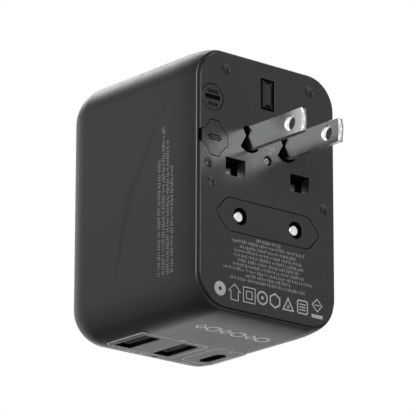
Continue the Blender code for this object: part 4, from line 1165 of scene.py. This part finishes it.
def centre_screw():
    screw = Solid("centre_screw_fine", turned(0, Z_SCREW, FACE_Y, SCREW_PROFILE, 40))
    for k in range(2):                                         # crossed slots
        shift = 0.01 * k
        screw.cut(prism(tilted(0, Z_SCREW, 1.3, 0.24, 35 + 90 * k),
                        FACE_Y - 0.5 + shift, FACE_Y + 0.9 + shift))
    obj = finish(screw.done(28), OXIDE, "housing", "spring_steel", "centre_screw")
    # Painted shade in the crossed slots
    paint(obj, PAINTED_SHADE, lambda x, y, z, normal: (
        FACE_Y + 0.6 < y < FACE_Y + 0.95 and math.hypot(x, z - Z_SCREW) < 0.7))


centre_screw()


# ------------------------------------------------------------------ shutter behind the socket face
def shutter():
    face_y, low, high = 21.8, 33.2, 38.6
    outline = soft_rect(0, SOCKET_Z, 31.2, 8.0, 0.5, 5)
    solid = Solid("shutter_fine", rounded("y", outline, 20.6, face_y, 0.12, 0.12, 3))
    window = soft_rect(0, SOCKET_Z + 0.35, 6.4, 3.7, 0.4, 5)
    solid.cut(mouth("y", window, face_y, -1, 3.0, 0.12, 3))
    for side in SIDES:                                         # ramps that the pins push on
        x0, x1 = sorted((side * 6.6, side * 14.0))
        top_y, foot_y = 21.81, 21.05
        solid.cut(faceted(
            [(x0, top_y, low), (x1, top_y, low), (x1, top_y, high), (x0, top_y, high),
             (x0, foot_y, low), (x1, foot_y, low)],
            ((0, 1, 2, 3), (0, 4, 5, 1), (4, 3, 2, 5), (0, 3, 4), (1, 5, 2))))
    finish(solid.done(28), BLACK, "shutter_body", "black_plastic", "shutter")


shutter()


# ------------------------------------------------------------------ prints: thin raised ink
class Print:
    """Collects thin closed plates on one flat face and joins them in one object."""

    def __init__(self, name, axis, surface, out, proud=0.02, sunk=0.05):
        self.name, self.axis = name, axis
        self.levels = (surface + out * proud, surface - out * sunk)
        self.mesh = bmesh.new()

    def plate(self, outline, hole=None):
        """Flat plate; a hole has as many points as the outline."""
        place = AXES[self.axis]
        loops = [ccw(loop) for loop in (outline, hole) if loop]
        top, low = [[[self.mesh.verts.new(Vector(place(a, b, level)) * MM) for a, b in loop]
                     for loop in loops] for level in self.levels]
        for top_ring, low_ring in zip(top, low):
            band(self.mesh, top_ring, low_ring)
        for rings in (top, low):
            if hole:
                band(self.mesh, *rings)
            else:
                self.mesh.faces.new(rings[0])

    def ring(self, x, z, outer, inner, steps):
        self.plate(circle(x, z, outer, steps), circle(x, z, inner, steps))

    def line(self, start, end, width):
        """Straight bar with square ends that reach half its width beyond start and end."""
        start, end = Vector(start), Vector(end)
        along = (end - start).normalized() * (width / 2)
        across = Vector((-along.y, along.x))
        self.plate([tuple(start - along + across), tuple(start - along - across),
                    tuple(end + along - across), tuple(end + along + across)])

    def frame(self, outline, width):
        outline = ccw(outline)
        self.plate(outline, grown(outline, -width))

    def rules(self, middle, length, height, seed, stroke, pitch, upright=False):
        """A row of fine strokes in groups, like a scale; upright turns it to run up."""
        draw = random.Random(seed)

        def mark(start, low, end, top):
            corners = rect(start, low, end, top)
            if upright:
                corners = [(up, along) for along, up in corners]
            self.plate([(middle[0] + a, middle[1] + b) for a, b in corners])

        along = -length / 2
        while along < length / 2 - pitch:
            for _ in range(draw.choice((2, 3, 4, 5, 6, 7))):
                if along > length / 2 - pitch * 0.6:
                    break
                kind = draw.random()
                top = -height / 2 + (height if kind < 0.55 else height * 0.72)
                low = -height / 2 + (0.0 if kind < 0.8 else height * 0.28)
                mark(along, low, along + stroke, top)
                if draw.random() < 0.5:                        # short foot or cap on the stroke
                    foot = draw.choice((low, top - stroke * 0.85))
                    mark(along + stroke + 0.004, foot, along + pitch * 0.62,
                         foot + stroke * 0.85)
                along += pitch
            along += pitch * 0.55

    def done(self, material, slot_name):
        bmesh.ops.recalc_face_normals(self.mesh, faces=self.mesh.faces)
        finish(new_object(self.name, self.mesh), material, "housing", slot_name)


# Rows low on the plug face: length, z
FACE_ROWS = ((8.3, 21.05), (25.1, 19.8), (19.6, 18.56), (23.2, 17.32), (24.2, 16.08),
             (21.1, 14.84), (24.5, 13.6), (30.7, 12.36), (15.5, 11.12), (25.9, 9.88))
# Rows on the left side: y, lower and upper z
SIDE_ROWS = ((-13.1, 10.8, 42.6), (-14.9, 10.9, 51.8), (-16.6, 10.8, 46.9), (-18.25, 10.9, 39.5))
# House outline: x, z from its middle
HOUSE = ((-2.25, 0.15), (-1.35, 0.15), (-1.35, -2.2), (1.35, -2.2),
         (1.35, 0.15), (2.25, 0.15), (0.0, 2.3))
# Signs in the track beside each knob: z from the knob, y of the arrow
TRACK_SIGNS = {"uk": (4.6, 5.5), "us": (-6.6, 5.5), "eu": (-4.6, -5.0)}


def print_face_rows():
    rows = Print("print_plug_face_rows", "y", FACE_Y, -1)
    for i, (length, z) in enumerate(FACE_ROWS):
        rows.rules((0.12, z), length, 0.8, seed=100 + i, stroke=0.155, pitch=0.54)
    rows.done(INK_ROW, "face_plastic")


def print_pictograms():
    """Row of signs at the foot of the plug face, from -X to +X, and two short rows above."""
    signs = Print("print_plug_face", "y", FACE_Y, -1)
    signs.ring(-16.4, 6.1, 1.9, 0.55, 40)
    signs.frame([(-11.5 + x, 5.95 + z) for x, z in HOUSE], 0.24)
    x, z = -6.55, 6.0                                          # double square
    for half in (2.1, 1.1):
        signs.frame(rect(x - half, z - half, x + half, z + half), 0.24)
    x, z = -2.1, 6.1                                           # ring with a dot
    signs.ring(x, z, 1.85, 1.42, 40)
    signs.plate(circle(x, z, 0.45, 24))
    signs.frame(circle(2.2, 6.1, 2.1, 6, math.radians(30)), 0.42)  # hexagon
    x, z = 6.75, 5.9                                           # triangle in a triangle
    signs.frame([(x - 2.1, z - 1.65), (x + 2.1, z - 1.65), (x, z + 2.1)], 0.38)
    signs.plate([(x - 0.5, z - 0.85), (x + 0.5, z - 0.85), (x, z + 0.1)])
    x, z = 11.7, 6.1                                           # rounded square with bars
    signs.frame(soft_rect(x, z, 3.8, 3.8, 0.7), 0.38)
    for rise in (-0.75, 0.0, 0.75):
        signs.plate(rect(x - 1.1, z + rise - 0.15, x + 1.1, z + rise + 0.15))
    x, z = 16.8, 7.5                                           # diamond over a bar
    signs.frame([(x - 1.9, z), (x, z - 1.9), (x + 1.9, z), (x, z + 1.9)], 0.28)
    signs.line((x - 0.75, z), (x + 0.75, z), 0.26)
    signs.plate(rect(x - 1.9, 4.0, x + 1.9, 4.95))
    signs.rules((0.1, 46.95), 4.6, 0.8, seed=31, stroke=0.3, pitch=0.72)
    signs.rules((-0.2, 45.72), 3.2, 0.7, seed=32, stroke=0.3, pitch=0.72)
    signs.done(INK, "face_plastic")


def print_left_side():
    rows = Print("print_left_side", "x", -HALF_W, -1, proud=0.015, sunk=0.12)
    for i, (y, z0, z1) in enumerate(SIDE_ROWS):
        rows.rules((y, (z0 + z1) / 2), z1 - z0, 1.12, seed=200 + i, stroke=0.16, pitch=0.6,
                   upright=True)
    rows.done(INK_SOFT, "shell_plastic")


def print_bottom():
    """Frames round the ports, ticks, and a row of rings and diamonds."""
    signs = Print("print_bottom", "z", 0.0, -1)
    signs.frame(soft_rect(-6.7, 9.0, 22.8, 15.6, 1.4, 8), 0.34)
    signs.frame(soft_rect(12.2, 8.3, 10.6, 15.6, 1.4, 8), 0.34)
    pitch = 0.75
    for x, y, count in ((-8.2, 18.1, 4), (-4.3, 18.1, 3), (10.4, 18.0, 4)):
        for i in range(count):
            start = x - pitch * count / 2 + i * pitch
            signs.plate(rect(start, y - 0.55, start + 0.42, y + (0.55 if i % 2 else 0.2)))
    signs.frame(circle(-4.6, 1.2, 0.9, 24), 0.34)
    signs.frame(circle(12.9, 1.5, 0.9, 24), 0.34)
    y = -13.4
    for i, x in enumerate((-10.6, -6.4, -2.2, 2.0, 6.2, 10.2)):
        if i % 2:
            signs.frame(circle(x, y, 2.2, 36), 0.7)
        else:
            signs.frame([(x - 1.8, y), (x, y - 2.2), (x + 1.8, y), (x, y + 2.2)], 0.62)
    signs.done(INK_SILVER, "shell_plastic")


def print_socket_face():
    """Two rings with a bar between them."""
    sign = Print("print_socket_face", "y", BACK_Y, 1)
    z = 11.1
    for side in SIDES:
        sign.ring(side * 2.2, z, 0.75, 0.5, 24)
    sign.line((-0.9, z), (0.9, z), 0.22)
    sign.done(INK, "face_plastic")


def print_track():
    """Pin patterns and arrows towards the plug face beside the knobs."""
    signs = Print("print_track", "x", TRACK_X, 1)
    levels = {key: KNOBS[key][0] + rise for key, (rise, arrow_y) in TRACK_SIGNS.items()}
    y, z = 13.0, levels["us"]
    for off_y in (-0.9, 0.9):
        signs.plate(rect(y + off_y - 0.22, z - 1.1, y + off_y + 0.22, z + 1.1))
    z = levels["uk"]
    signs.plate(rect(y - 0.4, z + 0.35, y + 0.4, z + 1.6))
    for off_y in (-1.25, 1.25):
        signs.plate(rect(y + off_y - 0.6, z - 1.0, y + off_y + 0.6, z - 0.35))
    for off_y in (-1.1, 1.1):
        signs.plate(circle(-13.0 + off_y, levels["eu"], 0.5, 24))
    for key, (rise, y) in TRACK_SIGNS.items():
        z = levels[key]
        signs.line((y + 3.0, z), (y - 2.2, z), 0.2)
        signs.plate([(y - 3.2, z), (y - 2.2, z - 0.7), (y - 2.2, z + 0.7)])
    signs.done(INK, "shell_plastic")


print_face_rows()
print_pictograms()
print_left_side()
print_bottom()
print_socket_face()
print_track()

# ------------------------------------------------------------------ frame pieces kept as they are
# Material, width of the eased edges (0 for none), names
KEPT = (
    (BLACK, 0.25, ("mid_frame", "uk_carriage", "us_carriage", "eu_carriage")),
    (BLACK, 0.12, ("us_rotor_left", "us_rotor_right", "spare_fuse_tube")),
    (BRASS, 0.05, ("fuse_clip_front", "fuse_clip_rear")),
    (BRASS, 0.08, ("socket_contact_line", "socket_contact_neutral")),
    (BRASS, 0.1, ("busbar_line", "busbar_neutral")),
    (STEEL, 0.0, ("shutter_spring",)),
    (BOARD, 0.08, ("usb_board",)),
    (STEEL, 0.08, ("board_screw_left", "board_screw_right")),
    (LENS, 0.05, ("led_light_pipe",)),
    (CORE, 0.25, ("transformer",)),
    (STEEL, 0.12, ("input_capacitor", "output_capacitor")),
)


def ease_edges(obj, width):
    weld = obj.modifiers.new("weld", "WELD")
    weld.merge_threshold = 0.000002
    bevel = obj.modifiers.new("ease", "BEVEL")
    bevel.width, bevel.segments = width * MM, 3
    bevel.limit_method, bevel.angle_limit = "ANGLE", math.radians(40)
    bevel.use_clamp_overlap = True
    weighted = obj.modifiers.new("weighted", "WEIGHTED_NORMAL")
    weighted.weight = 50


for material, ease, names in KEPT:
    for name in names:
        kept = NODES[name]
        kept.data.materials.clear()
        kept.data.materials.append(material)
        if ease:
            ease_edges(kept, ease)


# ------------------------------------------------------------------ camera
def add_camera():
    """Long lens from the front left, a little below the body."""
    lens = bpy.data.cameras.new("camera")
    camera = bpy.data.objects.new("camera", lens)
    bpy.context.scene.collection.objects.link(camera)
    lens.sensor_width, lens.lens = 36.0, 307.36
    lens.clip_start, lens.clip_end = 0.01, 50.0
    azimuth, elevation, roll = (math.radians(a) for a in (-40.3149, -16.9701, 0.09847))
    back = Vector((math.sin(azimuth) * math.cos(elevation),
                   -math.cos(azimuth) * math.cos(elevation), math.sin(elevation)))
    x = Vector((0, 0, 1)).cross(back).normalized()
    y = back.cross(x)
    right = x * math.cos(roll) + y * math.sin(roll)
    upward = y * math.cos(roll) - x * math.sin(roll)
    place = (-0.58158, -0.68899, -0.23804)
    axes = Matrix((right, upward, back)).transposed().to_4x4()
    camera.matrix_world = Matrix.Translation(place) @ axes
    bpy.context.scene.camera = camera


add_camera()

# ------------------------------------------------------------------ light
# Soft round patches: direction, full inside and gone outside (degrees), strength
LOBES = (
    ((-0.5, -0.7, 0.5),      6, 26, 2.14),   # front, left, high
    ((-0.62, -0.73, 0.29),   6, 26, 2.05),   # front, left
    ((-0.73, -0.62, 0.29),   6, 26, 1.43),   # front, left
    ((0.3, 0.95, 0.12),      0, 46, 0.98),   # behind
    ((0.62, 0.73, -0.29),    6, 26, 0.75),   # behind, right, low
    ((0.64, -0.64, -0.42),   0, 46, 0.42),   # front, right, low
    ((-0.57, 0.81, -0.12),   0, 46, 0.46),   # behind, left
    ((-0.9, -0.3, 0.3),      6, 26, 0.28),   # left
    ((0.62, -0.73, 0.29),    6, 26, 0.34),   # front, right
    ((0.88, 0.32, 0.35),     0, 46, 0.18),   # behind, right
    ((-0.86, -0.5, 0.04),    0, 46, 0.20),   # front, left
    ((-0.94, 0.04, -0.35),   0, 46, 0.18),   # left, low
    ((0.13, -0.57, -0.81),   0, 46, 0.22),   # front, low
    ((0.41, 0.54, 0.73),     0, 46, 0.10),   # behind, right, high
    ((0.23, 0.41, -0.89),    0, 46, 0.06),   # behind, low
    ((-0.62, 0.73, 0.29),    4, 12, 0.62),   # behind, left
    ((-0.34, 0.32, 0.89),    0, 46, 0.02),   # behind, left, high
    ((0.22, 0.20, 0.95),     3, 17, 5.50),   # ceiling, leaning away from the camera
    ((0.72, 0.18, 0.67),     4, 20, 4.20),   # right, high
    ((0.18, 0.72, 0.67),     4, 20, 4.00),   # behind, high
)


def light_room():
    """World that lights with the soft patches and is seen by the camera as plain white."""
    world = bpy.data.worlds.new("studio")
    bpy.context.scene.world = world
    world.use_nodes = True
    world.node_tree.nodes.clear()
    graph = Graph(world.node_tree)
    place = graph.new("ShaderNodeTexCoord").outputs["Generated"]
    view = graph.new("ShaderNodeVectorMath", {0: place}, operation="NORMALIZE").outputs[0]
    total = graph.calc("ADD", 0.0, 0.0)
    for direction, inner, outer, strength in LOBES:
        facing = graph.dot(view, tuple(Vector(direction).normalized()))
        span = (math.cos(math.radians(outer)), math.cos(math.radians(inner)))
        lobe = graph.ranged(facing, span=span, to=(0.0, strength),
                            interpolation_type="SMOOTHSTEP")
        total = graph.calc("ADD", total, lobe)
    white = (1.0, 1.0, 1.0)
    light = graph.new("ShaderNodeBackground", {"Color": white, "Strength": total})
    seen = graph.new("ShaderNodeBackground", {"Color": white, "Strength": 1.0})
    camera_ray = graph.new("ShaderNodeLightPath").outputs["Is Camera Ray"]
    blend = graph.new("ShaderNodeMixShader",
                      {0: camera_ray, 1: light.outputs[0], 2: seen.outputs[0]})
    graph.new("ShaderNodeOutputWorld", {"Surface": blend.outputs[0]})


light_room()


# ------------------------------------------------------------------ floor
def floor_paper():
    """Pale paper, seen from above only so that it never hides the underside."""
    shader = Shader("floor_paper")
    fine, cloud = shader.noise(900.0), shader.noise(3.0)
    colour = shader.mix(shader.ranged(cloud), (0.80, 0.80, 0.80), (0.84, 0.84, 0.84))
    path = shader.new("ShaderNodeLightPath").outputs
    glow = shader.calc("MULTIPLY", path["Is Camera Ray"], 0.17)
    shader.set(Base_Color=colour, Roughness=shader.ranged(fine, to=(0.75, 0.85)),
               Specular_IOR_Level=0.2, Emission_Color=(1.0, 1.0, 1.0), Emission_Strength=glow)
    below = shader.new("ShaderNodeNewGeometry").outputs["Backfacing"]
    distance = shader.new("ShaderNodeVectorMath", {0: shader.place}, operation="LENGTH")
    fade = shader.ranged(distance.outputs["Value"], span=(0.5, 2.2))
    near = shader.calc("MULTIPLY", shader.calc("SUBTRACT", 1.0, path["Is Camera Ray"]),
                       shader.calc("LESS_THAN", path["Ray Length"], 0.05))
    hide = shader.calc("MAXIMUM", shader.calc("MAXIMUM", below, path["Is Shadow Ray"]),
                       shader.calc("MAXIMUM", near, fade))
    through = shader.new("ShaderNodeBsdfTransparent").outputs[0]
    mixer = shader.new("ShaderNodeMixShader",
                       {0: hide, 1: shader.surface.outputs[0], 2: through})
    shader.put(shader.output.inputs["Surface"], mixer.outputs[0])
    return shader.material


def add_floor():
    disc = bmesh.new()
    bmesh.ops.create_circle(disc, cap_ends=True, radius=2.4, segments=96)
    floor = new_object("floor", disc)
    floor.location = (0, 0, -0.0006)
    floor.data.materials.append(floor_paper())


add_floor()

bpy.context.scene.view_settings.view_transform = "Standard"
bpy.context.scene.view_settings.look = "None"
